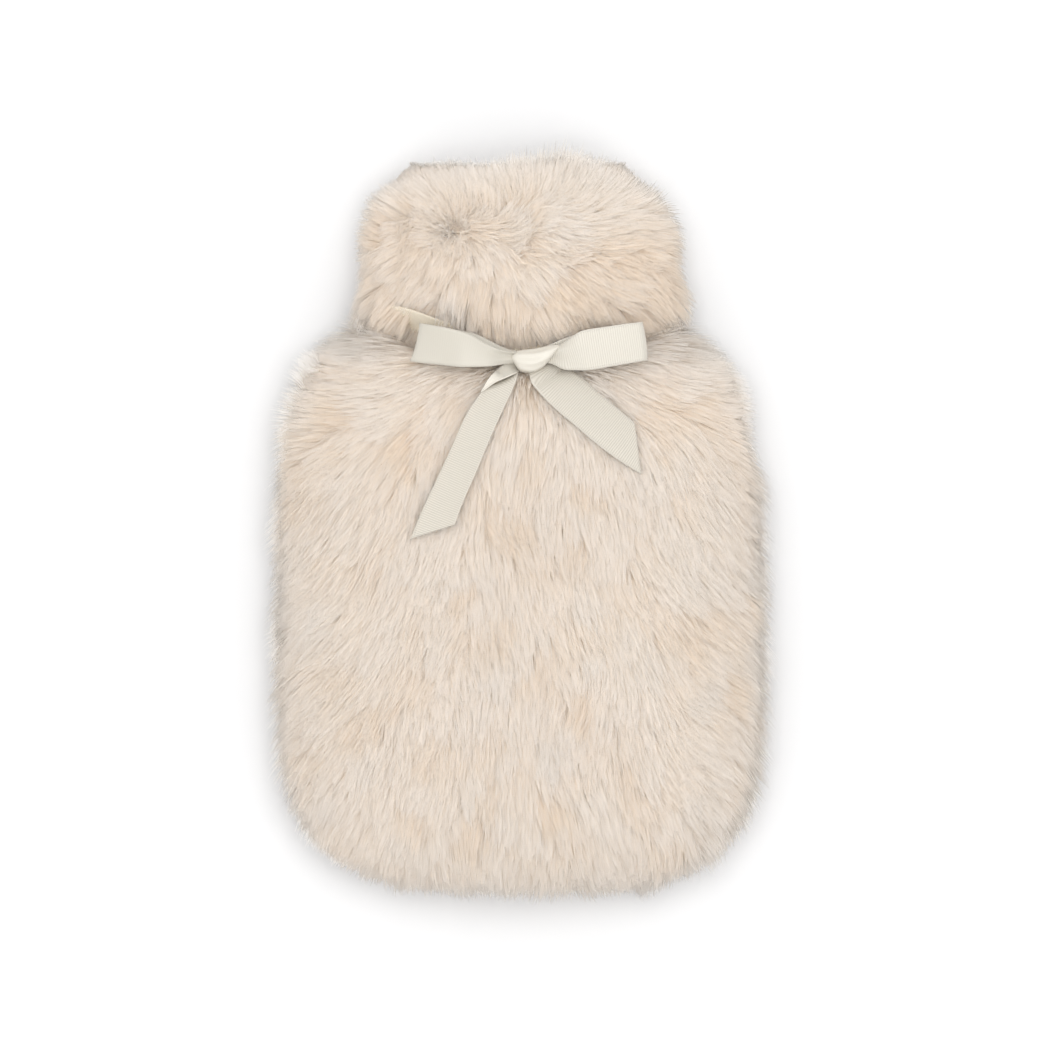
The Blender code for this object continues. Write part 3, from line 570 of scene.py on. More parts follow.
def nearest(points, centres, cell):
    """Number of the centre nearest to each point, of those in its own and the next cells of a
    coarse cubic grid."""
    low = np.minimum(points.min(axis=0), centres.min(axis=0)) - 2 * cell
    high = np.maximum(points.max(axis=0), centres.max(axis=0)) + 2 * cell
    _, wide, deep = np.ceil((high - low) / cell).astype(int)

    def key(cells):
        return (cells[:, 0] * wide + cells[:, 1]) * deep + cells[:, 2]

    keys = key(np.floor((centres - low) / cell).astype(int))
    order = np.argsort(keys, kind="stable")
    ranked = keys[order]
    own = np.floor((points - low) / cell).astype(int)
    best = np.full(len(points), np.inf)
    found = np.zeros(len(points), dtype=int)
    for shift in itertools.product((-1, 0, 1), repeat=3):
        wanted = key(own + shift)
        start = np.searchsorted(ranked, wanted)
        for k in range(np.bincount(keys).max()):
            at = np.minimum(start + k, len(ranked) - 1)
            far = np.linalg.norm(points - centres[order[at]], axis=1)
            far = np.where(ranked[at] == wanted, far, np.inf)
            found = np.where(far < best, order[at], found)
            best = np.minimum(far, best)
    return found


def strand_mesh(name, pile, shade, roll, width, material):
    """Flat tapered strips: at each point of a strand two corners lie half a width to either side,
    square to the strand and rolled about it, and the last point is the tip. Their normals lean to
    the cloth's own, as a thick pile takes the light."""
    points = pile.points
    count, per = len(points), 2 * len(SPANS) + 1
    along = unit(np.diff(points, axis=1))
    side = unit(np.cross(along, pile.normal[:, None]))
    up = np.cross(side, along)
    side = side * np.cos(roll)[:, None, None] + up * np.sin(roll)[:, None, None]
    half = (width[:, None] * WIDTHS / 2)[..., None]
    left, right = points[:, :-1] - side * half, points[:, :-1] + side * half
    body = np.stack([left, right], axis=2).reshape(count, -1, 3)
    corners = np.concatenate([body, points[:, -1:]], axis=1)
    corners[..., 2] = np.maximum(corners[..., 2], 0.0)
    pattern = np.array([[0, 1, 3, 2], [2, 3, 5, 4], [4, 5, 6, -1]])
    faces = np.where(pattern < 0, -1, pattern + np.arange(count)[:, None, None] * per)
    made = mesh_object(name, corners.reshape(-1, 3), faces.reshape(-1, 4), material)
    lit = unit(up + pile.normal[:, None] * 4.0)
    lit = np.repeat(np.concatenate([lit, lit[:, -1:]], axis=1), 2, axis=1)[:, :per]
    made.data.normals_split_custom_set_from_vertices(lit.reshape(-1, 3).astype(np.float32))
    u = np.concatenate([np.repeat(np.concatenate([[0.0], np.cumsum(SPANS)[:-1]]), 2), [1.0]])
    v = np.concatenate([np.tile([0.1, 0.9], len(SPANS)), [0.5]])
    coordinates = np.stack([np.broadcast_to(u * 0.98 + 0.01, (count, per)),
                            (shade[:, None] + v) / SHADES], axis=-1).reshape(-1, 2)
    set_map(made.data, "strand", coordinates)
    set_map(made.data, "OFBake", coordinates)
    return made


def guide_pile(panel, values):
    """Fine guides drawn to coarse ones."""
    fine_count, coarse_count = panel.guides
    loose = {**values, **GUIDE_SPREADS}
    coarse = Pile(panel, coarse_count, panel.seed + 40, loose)
    fine = Pile(panel, fine_count, panel.seed + 20, loose)
    fine.gather(coarse, COARSE_CELL, TO_COARSE)
    return fine


def shades(pile, collar, chance, lock_tones):
    """Rows of the colour map: a random tone for each strand and each lock and smooth noise, raised
    at the cover's sides, towards the mouth and at the neck, where the high rows paint grey shade,
    and lowered at the collar's foot and a little over the body's top, where the low rows paint warm
    shade."""
    y = pile.root[:, 1]
    tone = chance.normal(0.34, 0.11, len(y)) + 0.13 * ripple(pile.root, 0.022, 90)
    tone = tone + lock_tones[pile.lock] * (1 - 0.8 * pile.calm)
    # Painted grey shade at the sides, where the pile stands steeply.
    tone = tone + 0.45 * rise(pile.level, 0.25, 0.40)
    if collar:
        # Painted warm shade at the collar's foot, painted grey shade towards the mouth.
        tone = tone - 0.20 * (1 - rise(y, 0.134, 0.016)) + 0.28 * rise(y, 0.146, 0.020)
    else:
        # Painted warm shade a little over the body's top, painted grey shade at the neck.
        tone = tone - 0.03 * rise(y, 0.015, 0.030) + 0.53 * rise(y, 0.074, 0.010)
    return (np.clip(tone, 0.0, 0.95) * SHADES).astype(int)


def add_fur(panel, values, material, underside):
    """The strands of one panel, in the panel's given number of pieces."""
    guides = guide_pile(panel, values)
    lock_tones = np.random.default_rng(panel.seed).normal(0, 0.12, panel.guides[1])
    made = []
    for part in range(panel.pieces):
        pile = Pile(panel, panel.count, panel.seed + 100 * (part + 1), values)
        pile.gather(guides, FINE_CELL, TO_FINE_COLLAR if panel.collar else TO_FINE_BODY)
        pile.points = kept_under(pile.points, underside)
        chance = np.random.default_rng(panel.seed + part)
        shade = shades(pile, panel.collar, chance, lock_tones)
        hairs = np.arange(4, panel.count, 1400)
        if panel.collar:
            mouth = (pile.root[:, 1] > 0.166) & (pile.points[:, -1, 2] > 0.03)
            hairs = np.flatnonzero(mouth)[::230]
            foot = pile.points[hairs, :1]
            pile.points[hairs] = foot + (pile.points[hairs] - foot) * 1.5
        shade[hairs] = SHADES - 1
        roll = chance.uniform(-0.5, 0.5, panel.count) * np.where(pile.under, 0.35, 1.0)
        roll = roll * (1 - 0.6 * pile.calm)
        width = values["width"] * chance.uniform(0.75, 1.2, panel.count) * pile.thick
        width[hairs] = 0.6 * values["width"]
        piece = strand_mesh(f"{panel.name}_fur_{part + 1}", pile, shade, roll, width, material)
        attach(piece, "root")
        made.append(piece)
    return made


# ---- materials
def new_material(name):
    """A node material, its tree and its Principled shader."""
    made = bpy.data.materials.new(name)
    made.use_nodes = True
    return made, made.node_tree, made.node_tree.nodes["Principled BSDF"]


def feed(tree, socket, value):
    """Sets an input to a value, or joins it to an output."""
    if isinstance(value, bpy.types.NodeSocket):
        tree.links.new(value, socket)
    else:
        socket.default_value = value


def node(tree, kind, *values, **named):
    """A node of this kind, with its first inputs set in order, and its properties and other inputs
    by name."""
    made = tree.nodes.new(kind)
    for key, value in named.items():
        if hasattr(made, key):
            setattr(made, key, value)
        else:
            feed(tree, made.inputs[key], value)
    for socket, value in zip(made.inputs, values):
        feed(tree, socket, value)
    return made


def maths(tree, operation, *values):
    """The output of a Math node over these sockets and numbers."""
    return node(tree, "ShaderNodeMath", *values, operation=operation).outputs[0]


def map_parts(tree, name):
    """The outputs of u and v of a UV map."""
    place = node(tree, "ShaderNodeUVMap", uv_map=name)
    split = node(tree, "ShaderNodeSeparateXYZ", place.outputs["UV"])
    return split.outputs["X"], split.outputs["Y"]


def ramp(tree, factor, stops, interpolation="LINEAR"):
    """The colour output of a ramp over a socket, with these stops: (place, (r, g, b))."""
    made = node(tree, "ShaderNodeValToRGB", factor)
    made.color_ramp.interpolation = interpolation
    marks = made.color_ramp.elements
    for mark in list(marks)[1:]:
        marks.remove(mark)
    marks[0].position = stops[0][0]
    marks[0].color = (*stops[0][1], 1.0)
    for place, colour in stops[1:]:
        marks.new(place).color = (*colour, 1.0)
    return made.outputs["Color"]


def bumped(tree, shader, height, strength, distance, invert=False):
    """Raises the shader's surface by a socket, in its normals."""
    bump = node(tree, "ShaderNodeBump", invert=invert, Strength=strength, Distance=distance,
                Height=height)
    feed(tree, shader.inputs["Normal"], bump.outputs["Normal"])


def coloured(tree, shader, factor, first, second, let_through):
    """Gives the shader the mix of two colours by a socket, and mixes in a share of light that is
    let through in the same colour."""
    mix = node(tree, "ShaderNodeMix", factor, data_type="RGBA")
    feed(tree, mix.inputs[6], first)
    feed(tree, mix.inputs[7], second)
    feed(tree, shader.inputs["Base Color"], mix.outputs[2])
    thin = node(tree, "ShaderNodeBsdfTranslucent", mix.outputs[2])
    both = node(tree, "ShaderNodeMixShader", let_through, shader.outputs[0], thin.outputs[0])
    feed(tree, tree.nodes["Material Output"].inputs["Surface"], both.outputs[0])


def half_way(first, second):
    """The colour half way between two."""
    return tuple((a + b) / 2 for a, b in zip(first, second))


def strand_material(values):
    """Fibres: each row of the map has a colour at the root and one at the tip, mixed by the map's
    u. Low rows are warm, with painted shade at the root; high rows are pale and grey, with painted
    shade at the tip and a darker painted shade at the root; and the last is for guard hairs. The
    roots are warmer than the tips, as a painted warm tint of the shade deep in the pile."""
    made, tree, shader = new_material("fur_strands")
    u, v = map_parts(tree, "strand")
    row = maths(tree, "DIVIDE", maths(tree, "FLOOR", maths(tree, "MULTIPLY", v, SHADES)), SHADES)
    tip, cool, root = values["tip_colour"], values["cool_colour"], values["root_colour"]
    # Tips: warm in low rows, pale grey painted shade in high rows, dark guard hairs last.
    tips = ramp(tree, row, (
        (0.0, values["warm_colour"]), (0.40, tip), (0.72, half_way(tip, cool)), (0.95, cool),
        (0.968, cool), (0.969, values["guard_colour"])))
    # Roots: painted warm shade in low rows, darker painted shade at the rim in high rows.
    roots = ramp(tree, row, (
        (0.0, values["shade_colour"]), (0.30, root), (0.66, root), (0.84, values["rim_colour"])))
    out = ramp(tree, u, tuple((place, (grey,) * 3) for place, grey in (
        (0.0, 0.0), (0.30, 0.1), (0.70, 0.75), (1.0, 1.0))))
    coloured(tree, shader, out, roots, tips, 0.76)
    shader.inputs["Roughness"].default_value = 0.75
    shader.inputs["Specular IOR Level"].default_value = 0.12
    shader.inputs["Sheen Weight"].default_value = 0.12
    shader.inputs["Sheen Roughness"].default_value = 0.5
    return made


def underfur_material(values):
    """The dense pile under the strands: streaks of noise drawn out along the cover, between the
    rim's and the warm colour, with a fine bump. It is darker than the strands, as painted shade
    deep in the pile."""
    made, tree, shader = new_material("fur_ground")
    place = node(tree, "ShaderNodeTexCoord")
    stretch = node(tree, "ShaderNodeMapping", place.outputs["Object"], Scale=(1.0, 0.22, 1.0))
    noise = node(tree, "ShaderNodeTexNoise", stretch.outputs[0], Scale=900.0, Detail=3.0)
    # Painted shade: the darker rim colour and a mix with the warm one.
    rim = values["rim_colour"]
    tone = ramp(tree, noise.outputs["Fac"], (
        (0.3, rim), (0.7, half_way(rim, values["warm_colour"]))))
    feed(tree, shader.inputs["Base Color"], tone)
    bumped(tree, shader, noise.outputs["Fac"], 0.6, 0.0008)
    shader.inputs["Roughness"].default_value = 0.85
    return made


def grosgrain_material(values):
    """Ribbon: cross ribs as a power of a sine along the map's u, deep on the two ribbed faces and
    faint on the others, with a plain selvedge at either side. The grooves are painted darker, as
    painted shade, and each face has its own tones, which paint light and shade onto one ribbon."""
    made, tree, shader = new_material("ivory_grosgrain")
    u, v = map_parts(tree, "ribbon")
    wave = maths(tree, "SINE", maths(tree, "MULTIPLY", u, 2 * math.pi / values["rib_pitch"]))
    groove = maths(tree, "POWER", maths(tree, "MULTIPLY_ADD", wave, 0.5, 0.5), 2.2)
    aside = maths(tree, "ABSOLUTE", maths(tree, "SUBTRACT", maths(tree, "FRACT", v), 0.5))
    ribbed = maths(tree, "MULTIPLY", maths(tree, "GREATER_THAN", v, float(RIBBED)),
                   maths(tree, "LESS_THAN", v, float(WARM_LIT)))
    ribbed = maths(tree, "MULTIPLY_ADD", ribbed, 0.85, 0.15)
    cut = maths(tree, "MULTIPLY", maths(tree, "MULTIPLY", groove, ribbed),
                maths(tree, "LESS_THAN", aside, 0.455))
    face = maths(tree, "DIVIDE", v, len(RIBBON_FACES))
    # Painted light and shade of each face, and painted shade in the grooves
    ribs, grooves = (
        ramp(tree, face, [(k / len(RIBBON_FACES), tuple(np.multiply(values["colour"], tones)))
                          for k, tones in enumerate(kind)], "CONSTANT")
        for kind in zip(*RIBBON_FACES))
    coloured(tree, shader, cut, ribs, grooves, 0.22)
    bumped(tree, shader, cut, 0.5, 0.0003, invert=True)
    shader.inputs["Roughness"].default_value = 0.42
    shader.inputs["Sheen Weight"].default_value = 0.2
    return made


# ---- the cloth
def cloth_shell(panel, material):
    """A panel's fur cloth with its dense underfur: the layer where the strands are rooted and the
    hollow's surface, joined at their rims. The front and the back are waved by soft noise, and the
    collar is a tube."""
    rows, columns = panel.grid
    if panel.collar:
        half = np.linspace(*SEAMS, columns + 1)[:-1]
        run, fan = np.linspace(1.0, 2.0, rows), np.concatenate([half, -half])
    else:
        run, fan = np.linspace(-1.0, 1.0, rows), np.linspace(*SEAMS, columns)
    a, b = np.meshgrid(run, fan, indexing="ij")
    side = np.broadcast_to(np.repeat(panel.faces, columns), a.shape)
    outer, inner = layer(a, b, side, UNDER), layer(a, b, side, 1.0)
    index = np.arange(a.size).reshape(a.shape)
    if panel.collar:
        rings = np.concatenate([index, index[:, :1]], axis=1)
        rims = ((rings[0], -1), (rings[-1], 1))
    else:
        wave = ripple(outer, 0.011, 31) * 0.0008
        wave = wave * rise(np.abs(outer[..., 2] - SEAM_Z), 0.003, 0.005)
        outer = outer + layer_normal(a, b, side, UNDER) * wave[..., None]
        for points in (outer, inner):
            points[..., 2] = np.maximum(points[..., 2] + side * 0.0002, 0.0)
        around = np.concatenate([index[0], index[1:, -1], index[-1, -2::-1], index[-2::-1, 0]])
        rims = ((around, -panel.faces[0]),)
    back = panel.faces[0] < 0
    faces = [grid_faces(*a.shape, flipped=back, wrapped=panel.collar),
             grid_faces(*a.shape, start=a.size, flipped=not back, wrapped=panel.collar)]
    faces += [bridge(line, line + a.size)[:, ::flip] for line, flip in rims]
    points = np.concatenate([outer.reshape(-1, 3), inner.reshape(-1, 3)])
    return mesh_object(panel.name + "_cloth", points, np.concatenate(faces), material)


# ---- the ribbon
def edge_lines(rungs, steps):
    """The two edge lines of a ribbon, on monotone cubics through its rungs by their run."""
    run = along_line((rungs[:, :3] + rungs[:, 3:]) / 2)
    at = np.linspace(0.0, run[-1], steps)
    lines = np.stack([through(run, column, at) for column in rungs.T], axis=1)
    return lines[:, :3], lines[:, 3:]


def pile_height(points):
    """Height of the front's surface under these points: the place is found by repeating
    place = y + pull(place)."""
    x, y = points[:, 0], points[:, 1]
    place = y.copy()
    for _ in range(6):
        _, left, right, _, _ = sections_at(place, OUTSIDE, BEND_REACH)
        share = np.clip(np.abs(x) / np.where(x > 0, right, left), 0.0, 1.0)
        fan = np.arcsin(share * np.sign(x))
        place = y + pulled(place, fan, 1)
    return skin(place, fan, 1)[:, 2]


def band_lines():
    """The edge lines of the ribbon round the neck: the skin at either side of the neck's middle,
    moved out along its normal, and closer together near the knot. Left of the bow bell curves of
    the turn raise it into view and sink it into the pile."""
    turn = np.linspace(0.0, 2 * math.pi, BAND_STEPS)
    fan = np.arcsin(np.sin(turn))
    face = np.where(np.cos(turn) >= 0, 1, -1)
    near_knot = bell(np.sin(turn) * NECK_HALF, KNOT_X, 0.016) * (face > 0)
    half = BAND_HALF * (1 - 0.55 * near_knot)
    raised = 0.0068 * bell(turn, 5.44, 0.39)
    clear = BAND_CLEAR * (1 - 5.0 * bell(turn, 5.03, 0.28))
    edges = []
    for way in (1, -1):
        line = skin(JOIN_Y + way * half + raised, fan, face)
        around = np.roll(line[:-1], -1, axis=0) - np.roll(line[:-1], 1, axis=0)
        out = unit(np.stack([-around[:, 2], np.zeros(len(around)), around[:, 0]], axis=1))
        edges.append(line + np.concatenate([out, out[:1]]) * clear[:, None])
    return edges


def ribbon_grid(lines, curl, face, pleat):
    """A strip between two edge lines: straight across, moved along its normal by the curl times
    1 - (2t - 1)^2, with t the share across, and towards its end by the pleat times cos(3 pi t).
    Also its map: metres along, and the share across plus the number of its face. Rungs that lie
    aslant are put right by how far a point is off its rung's middle along the strip."""
    upper, lower = lines
    share = np.linspace(0.0, 1.0, RIBBON_COLUMNS)
    grid = upper[:, None] * (1 - share[:, None]) + lower[:, None] * share[:, None]
    along = np.gradient(grid, axis=0)
    across = np.gradient(grid, axis=1)
    late = rise(np.linspace(0.0, 1.0, len(grid)), 0.74, 0.18)[:, None]
    bulge = curl * (1 - (2 * share - 1)**2) + pleat * late * np.cos(3 * np.pi * share)
    grid = grid + unit(np.cross(across, along)) * bulge[..., None]
    middle = grid[:, RIBBON_COLUMNS // 2]
    way = unit(np.gradient(middle, axis=0))
    ahead = ((grid - middle[:, None]) * way[:, None]).sum(axis=-1)
    flat = np.stack([along_line(middle)[:, None] + ahead,
                     np.broadcast_to(share * 0.98 + 0.01 + face, grid.shape[:2])], axis=-1)
    return grid, flat


def ribbon_cloth(material):
    """The ribbon's round of the neck, its loops, its twist and its tails, in one mesh. Its length
    is the sum of their runs, and one gap for the way inside the knot."""
    # The band's face is painted warm light, the left loop's and the tails' faces painted shade, and
    # the twist's face painted lighter.
    strips = [(band_lines(), 0.0, WARM_LIT, 0.0),
              (edge_lines(LEFT_LOOP, LOOP_STEPS), LOOP_CURL, SMOOTH_SHADED, LEFT_PLEAT),
              (edge_lines(RIGHT_LOOP, LOOP_STEPS), LOOP_CURL, RIBBED, RIGHT_PLEAT)]
    for rungs, face in ((LEFT_TWIST, SMOOTH_LIT), (LEFT_TAIL, RIBBED_SHADED), (RIGHT_TAIL, RIBBED_SHADED)):
        lines = edge_lines(rungs, TAIL_STEPS)
        for line in lines:
            line[:, 2] += pile_height(line)
        strips.append((lines, TAIL_CURL, face, 0.0))
    points, faces, flat, start, metres = [], [], [], 0, 0.0
    for strip in strips:
        grid, uv = ribbon_grid(*strip)
        points.append(grid.reshape(-1, 3))
        faces.append(grid_faces(len(grid), RIBBON_COLUMNS, start=start))
        flat.append((uv + [metres, 0.0]).reshape(-1, 2))
        start += len(grid) * RIBBON_COLUMNS
        metres += float(uv[-1, 0, 0]) + STRIP_GAP
    made = mesh_object("ribbon_cloth", np.concatenate(points), np.concatenate(faces), material)
    set_map(made.data, "ribbon", np.concatenate(flat))
    thick = made.modifiers.new("Thickness", "SOLIDIFY")
    thick.thickness = RIBBON_THICK
    thick.offset = 0.0
    return made, metres - (len(strips) - 1) * STRIP_GAP


def knot_cloth(material):
    """The knot: ellipses set across from the wrap's lower to its upper edge, carried from its left
    to its right end. Their height over the pile and their length fall to nothing at both ends, and
    shallow folds run along them."""
    share = np.linspace(0.0, 1.0, 57)
    ends = 2 * share - 1
    top, foot = (np.stack([through(KNOT_AT, column, share) for column in edge.T], axis=1)
                 for edge in (KNOT_TOP, KNOT_FOOT))
    middle, half = (top + foot) / 2, (top - foot) / 2
    full = (1 - np.abs(ends)**5) ** 0.45
    depth = KNOT_HIGH * (1 - np.abs(ends)**2.6) ** 0.5
    turn = np.linspace(0, 2 * math.pi, 73)[:-1]
    fold = (0.060 * np.cos(3 * turn + 3.0 * share[:, None] - 0.4)
            + 0.055 * np.cos(8 * turn - 3.0 * share[:, None])) * np.sin(np.pi * share)[:, None]
    reach = (full[:, None] * np.cos(turn) * (1 + 0.4 * fold))[..., None]
    plan = middle[:, None] + half[:, None] * reach
    z = KNOT_Z + KNOT_TILT * share[:, None] + depth[:, None] * np.sin(turn) * (1 + fold)
    points = np.concatenate([plan, z[..., None]], axis=-1)
    made = mesh_object("ribbon_knot", points.reshape(-1, 3),
                       grid_faces(*z.shape, flipped=True, wrapped=True), material)
    # The knot's map lies on the smooth face, which is painted lighter.
    flat = np.stack([np.broadcast_to(turn * 0.006, z.shape),
                     np.broadcast_to(share[:, None], z.shape)], axis=-1)
    set_map(made.data, "ribbon", flat.reshape(-1, 2))
    return made


def ribbon_underside():
    """The lowest z of the loops, tails and bare part of the band over each cell of a grid in plan,
    spread to the cells around, for the strands to stay under. Returns the grid and its corner."""
    mesh = bpy.data.objects["ribbon_cloth"].data
    points = np.empty(len(mesh.vertices) * 3)
    mesh.vertices.foreach_get("co", points)
    band, bow = np.split(points.reshape(-1, 3), [BAND_STEPS * RIBBON_COLUMNS])
    bare = (np.abs(band[:, 0] + 0.0400) < 0.0140) & (band[:, 1] > 0.0915) & (band[:, 2] > 0.03)
    points = np.concatenate([band[bare], bow])
    low = points[:, :2].min(axis=0) - 0.006
    shape = np.ceil((points[:, :2].max(axis=0) + 0.006 - low) / PLAN_CELL).astype(int) + 1
    grid = np.full(shape, np.inf)
    at = ((points[:, :2] - low) / PLAN_CELL).astype(int)
    np.minimum.at(grid, (at[:, 0], at[:, 1]), points[:, 2])
    for _ in range(4):
        padded = np.pad(grid, 1, constant_values=np.inf)
        around = np.stack([padded[1 + i:1 + i + shape[0], 1 + j:1 + j + shape[1]]
                           for i, j in itertools.product((-1, 0, 1), repeat=2)])
        grid = np.where(np.isinf(grid), around.min(axis=0) + 0.0003, grid)
    return grid, low


def kept_under(points, underside):
    """The points moved down to stay under the ribbon, and up to stay above the floor."""
    grid, low = underside
    at = ((points[..., :2] - low) / PLAN_CELL).astype(int)
    inside = ((at >= 0) & (at < np.array(grid.shape))).all(axis=-1)
    at = np.clip(at, 0, np.array(grid.shape) - 1)
    limit = np.where(inside, grid[at[..., 0], at[..., 1]] - 0.0007, np.inf)
    points[..., 2] = np.maximum(np.minimum(points[..., 2], limit), 0.0003)
    return points


# ---- settings a user would change
def colour(name, description, default):
    """A colour that a user can pick."""
    return bpy.props.FloatVectorProperty(
        name=name, description=description, default=default, subtype="COLOR", min=0, max=1)


def distance(name, description, default):
    """A distance in metres that a user can set."""
    return bpy.props.FloatProperty(
        name=name, description=description, default=default, precision=5, subtype="DISTANCE",
        unit="LENGTH")


class FurSettings(bpy.types.PropertyGroup):
    """Sizes and colours of the pile."""

    length: distance("Length", "Length of a strand", 0.0180)
    width: distance("Width", "Widest part of a strand", 0.00034)
    lift: bpy.props.FloatProperty(
        name="Lift", description="Angle over the cloth at the root", default=math.radians(44),
        subtype="ANGLE", unit="ROTATION")
    # Warmer than the tips: a painted warm tint of the shade deep in the pile.
    root_colour: colour("Root colour", "Colour deep in the pile", (0.990, 0.943, 0.884))
    shade_colour: colour("Shaded root colour", "Colour deep in the darkest locks",
                         (0.950, 0.878, 0.790))
    tip_colour: colour("Tip colour", "Colour of the pale fibres", (0.985, 0.960, 0.932))
    # Partly a random warmer tone of the fibres, partly painted warm shade where the rows are
    # lowered at the collar's foot and the body's top.
    warm_colour: colour("Warm colour", "Colour of the warmer fibres", (0.975, 0.926, 0.864))
    # Painted grey shade of the tips at the cover's sides, at its neck and towards the collar's
    # mouth.
    cool_colour: colour("Cool colour", "Colour of the fibres at the rim", (0.945, 0.928, 0.905))
    # Painted shade deep in the pile at the cover's sides, at its neck and towards the collar's
    # mouth; also the underfur's painted shade.
    rim_colour: colour("Rim root colour", "Colour deep in the pile where it stands at a rim",
                       (0.90, 0.85, 0.79))
    guard_colour: colour("Guard hair colour", "Colour of the few dark guard hairs",
                         (0.36, 0.30, 0.25))


class RibbonSettings(bpy.types.PropertyGroup):
    """Colour and ribs of the ribbon."""

    colour: colour("Colour", "Colour of the ribbon", (0.72, 0.685, 0.61))
    rib_pitch: distance("Rib pitch", "From one cross rib to the next", 0.0011)


class StageSettings(bpy.types.PropertyGroup):
    """The floor and the lights."""

    floor_colour: colour("Floor colour", "Colour of the floor", (0.72, 0.72, 0.725))
    key_power: bpy.props.FloatProperty(
        name="Key light", description="Power of the large soft light", default=7.3, min=0,
        unit="POWER")
    fill: bpy.props.FloatProperty(
        name="Fill", description="Strength of the light from all round", default=1.20, min=0)


def values_of(group):
    """The settings of a group as a plain dict."""
    values = {}
    for key in group.bl_rna.properties.keys():
        if key not in ("rna_type", "name"):
            value = getattr(group, key)
            values[key] = tuple(value) if hasattr(value, "__len__") else value
    return values


# ---- panels and operators
Panel = namedtuple("Panel", "name faces collar seed grid runs pieces count guides flat area nodes")
FRONT = Panel(
    name="front", faces=(1,), collar=False, seed=3, grid=(110, 80), runs=(-0.999, 0.955),
    pieces=3, count=29000, guides=(1700, 300), flat=(0.30, 0.32), area=0.085,
    nodes=("front_panel", "body_locks"))
BACK = Panel(
    name="back", faces=(-1,), collar=False, seed=5, grid=(90, 70), runs=(-0.999, 0.955),
    pieces=1, count=32000, guides=(2200, 240), flat=(0.28, 0.30), area=0.072,
    nodes=("back_panel",))
COLLAR = Panel(
    name="collar", faces=(1, -1), collar=True, seed=7, grid=(50, 70), runs=(1.07, 1.999),
    pieces=2, count=22000, guides=(800, 120), flat=(0.36, 0.085), area=0.030,
    nodes=("collar", "collar_locks_left", "collar_locks_right", "mouth_locks"))


def add_panel(panel, settings):
    """Adds one panel: its cloth and its pile, and hides the CAD nodes that it stands for."""
    values = {**values_of(settings), **SPREADS}
    for name, make in (("fur_ground", underfur_material), ("fur_strands", strand_material)):
        if name not in bpy.data.materials:
            make(values)
    ground, strands = bpy.data.materials["fur_ground"], bpy.data.materials["fur_strands"]
    cloth = cloth_shell(panel, ground)
    fur = add_fur(panel, values, strands, ribbon_underside())
    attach(cloth, "root")
    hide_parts(*panel.nodes)


class COVER_OT_ribbon(bpy.types.Operator):
    """Adds the ribbon round the neck and its bow"""

    bl_idname = "cover.ribbon"
    bl_label = "Ribbon and bow"

    def execute(self, context):
        material = grosgrain_material(values_of(context.scene.cover_ribbon))
        ribbon, metres = ribbon_cloth(material)
        knot = knot_cloth(material)
        for piece in (ribbon, knot):
            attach(piece, "root")
        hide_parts("neck_ribbon")
        return {"FINISHED"}


class COVER_OT_front(bpy.types.Operator):
    """Adds the front panel's cloth and pile"""

    bl_idname = "cover.front"
    bl_label = "Front panel"

    def execute(self, context):
        add_panel(FRONT, context.scene.cover_fur)
        return {"FINISHED"}


class COVER_OT_back(bpy.types.Operator):
    """Adds the back panel's cloth and pile"""

    bl_idname = "cover.back"
    bl_label = "Back panel"

    def execute(self, context):
        add_panel(BACK, context.scene.cover_fur)
        return {"FINISHED"}


class COVER_OT_collar(bpy.types.Operator):
    """Adds the collar's cloth and pile"""

    bl_idname = "cover.collar"
    bl_label = "Collar"

    def execute(self, context):
        add_panel(COLLAR, context.scene.cover_fur)
        return {"FINISHED"}


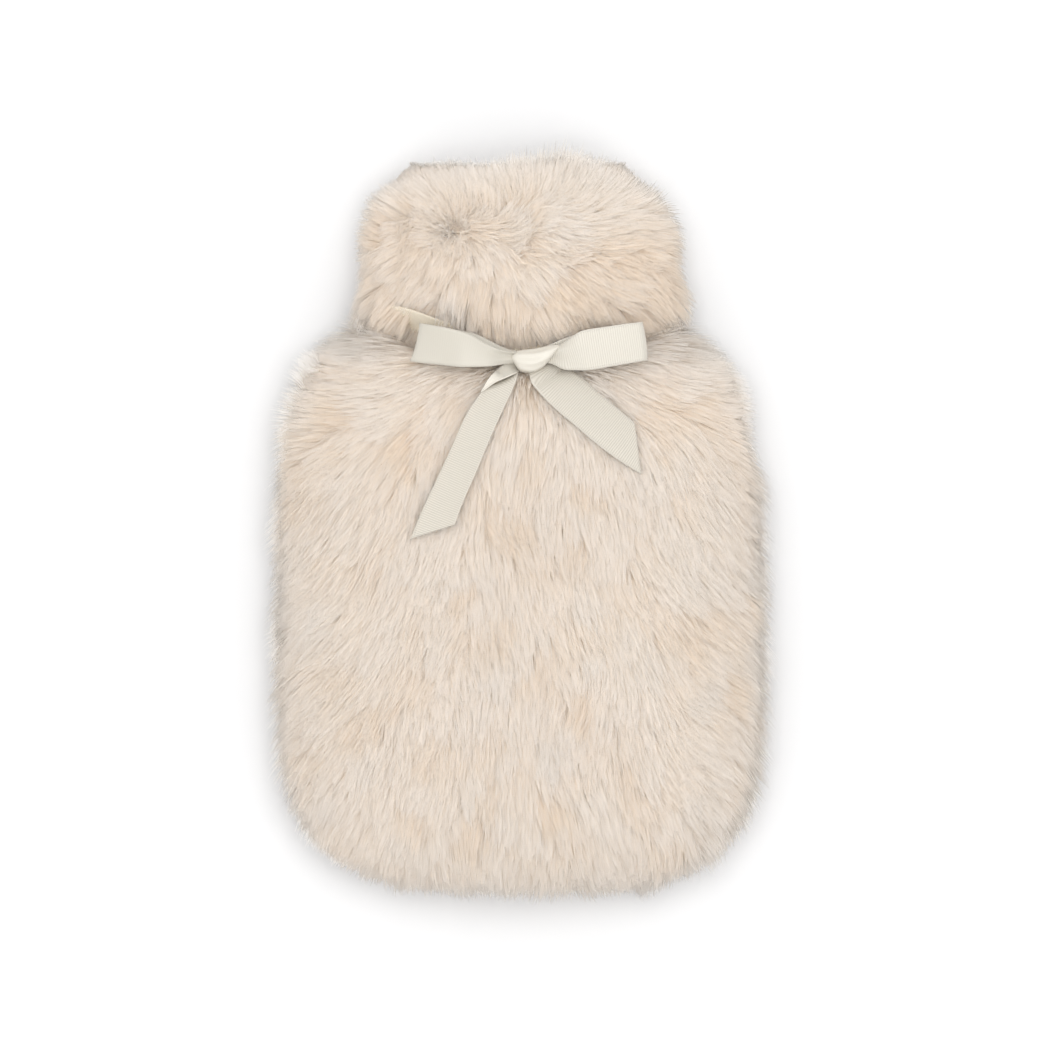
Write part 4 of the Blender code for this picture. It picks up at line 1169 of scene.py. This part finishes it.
class COVER_OT_stage(bpy.types.Operator):
    """Adds the floor, the lights and the camera"""

    bl_idname = "cover.stage"
    bl_label = "Stage"

    def execute(self, context):
        scene, settings = context.scene, context.scene.cover_stage
        scene.view_settings.view_transform = "Standard"
        made, _, shader = new_material("floor")
        shader.inputs["Base Color"].default_value = (*settings.floor_colour, 1.0)
        shader.inputs["Roughness"].default_value = 0.9
        shader.inputs["Specular IOR Level"].default_value = 0.1
        corners = np.array([[-1, -1, 0], [1, -1, 0], [1, 1, 0], [-1, 1, 0]]) * FLOOR_HALF
        mesh_object("floor", corners, np.array([[0, 1, 2, 3]]), made, smooth=False)
        scene.world = bpy.data.worlds.new("studio")
        scene.world.use_nodes = True
        back = scene.world.node_tree.nodes["Background"]
        back.inputs[0].default_value = (1.0, 1.0, 1.0, 1.0)
        back.inputs[1].default_value = settings.fill
        light = bpy.data.lights.new("key", "AREA")
        light.shape, light.size, light.energy = "DISK", LAMP_SIZE, settings.key_power
        lamp = placed("key", light, LAMP_AT)
        lamp.rotation_mode = "QUATERNION"
        lamp.rotation_quaternion = (-lamp.location).to_track_quat("-Z", "Y")
        camera = bpy.data.cameras.new("camera")
        camera.lens, camera.sensor_width = LENS, SENSOR
        scene.camera = placed("camera", camera, CAMERA_AT)
        return {"FINISHED"}


GROUPS = {"cover_fur": FurSettings, "cover_ribbon": RibbonSettings, "cover_stage": StageSettings}
OPERATORS = (COVER_OT_ribbon, COVER_OT_front, COVER_OT_back, COVER_OT_collar, COVER_OT_stage)


class COVER_PT_panel(bpy.types.Panel):
    """Lists the operators and the settings"""

    bl_idname = "COVER_PT_panel"
    bl_label = "Bottle cover"
    bl_space_type = "VIEW_3D"
    bl_region_type = "UI"
    bl_category = "Bottle cover"

    def draw(self, context):
        for name in GROUPS:
            group = getattr(context.scene, name)
            for key in values_of(group):
                self.layout.prop(group, key)
        for operator in OPERATORS:
            self.layout.operator(operator.bl_idname)


CLASSES = (*GROUPS.values(), *OPERATORS, COVER_PT_panel)


def register():
    """Registers the classes and gives the scene their settings."""
    for one in CLASSES:
        bpy.utils.register_class(one)
    for name, group in GROUPS.items():
        setattr(bpy.types.Scene, name, bpy.props.PointerProperty(type=group))


def unregister():
    """Takes the settings and the classes away again."""
    for name in GROUPS:
        delattr(bpy.types.Scene, name)
    for one in reversed(CLASSES):
        bpy.utils.unregister_class(one)


def main():
    """Builds the cover and its stage."""
    register()
    bpy.ops.cover.ribbon()
    bpy.ops.cover.front()
    bpy.ops.cover.back()
    bpy.ops.cover.collar()
    bpy.ops.cover.stage()


if __name__ == "__main__":
    main()
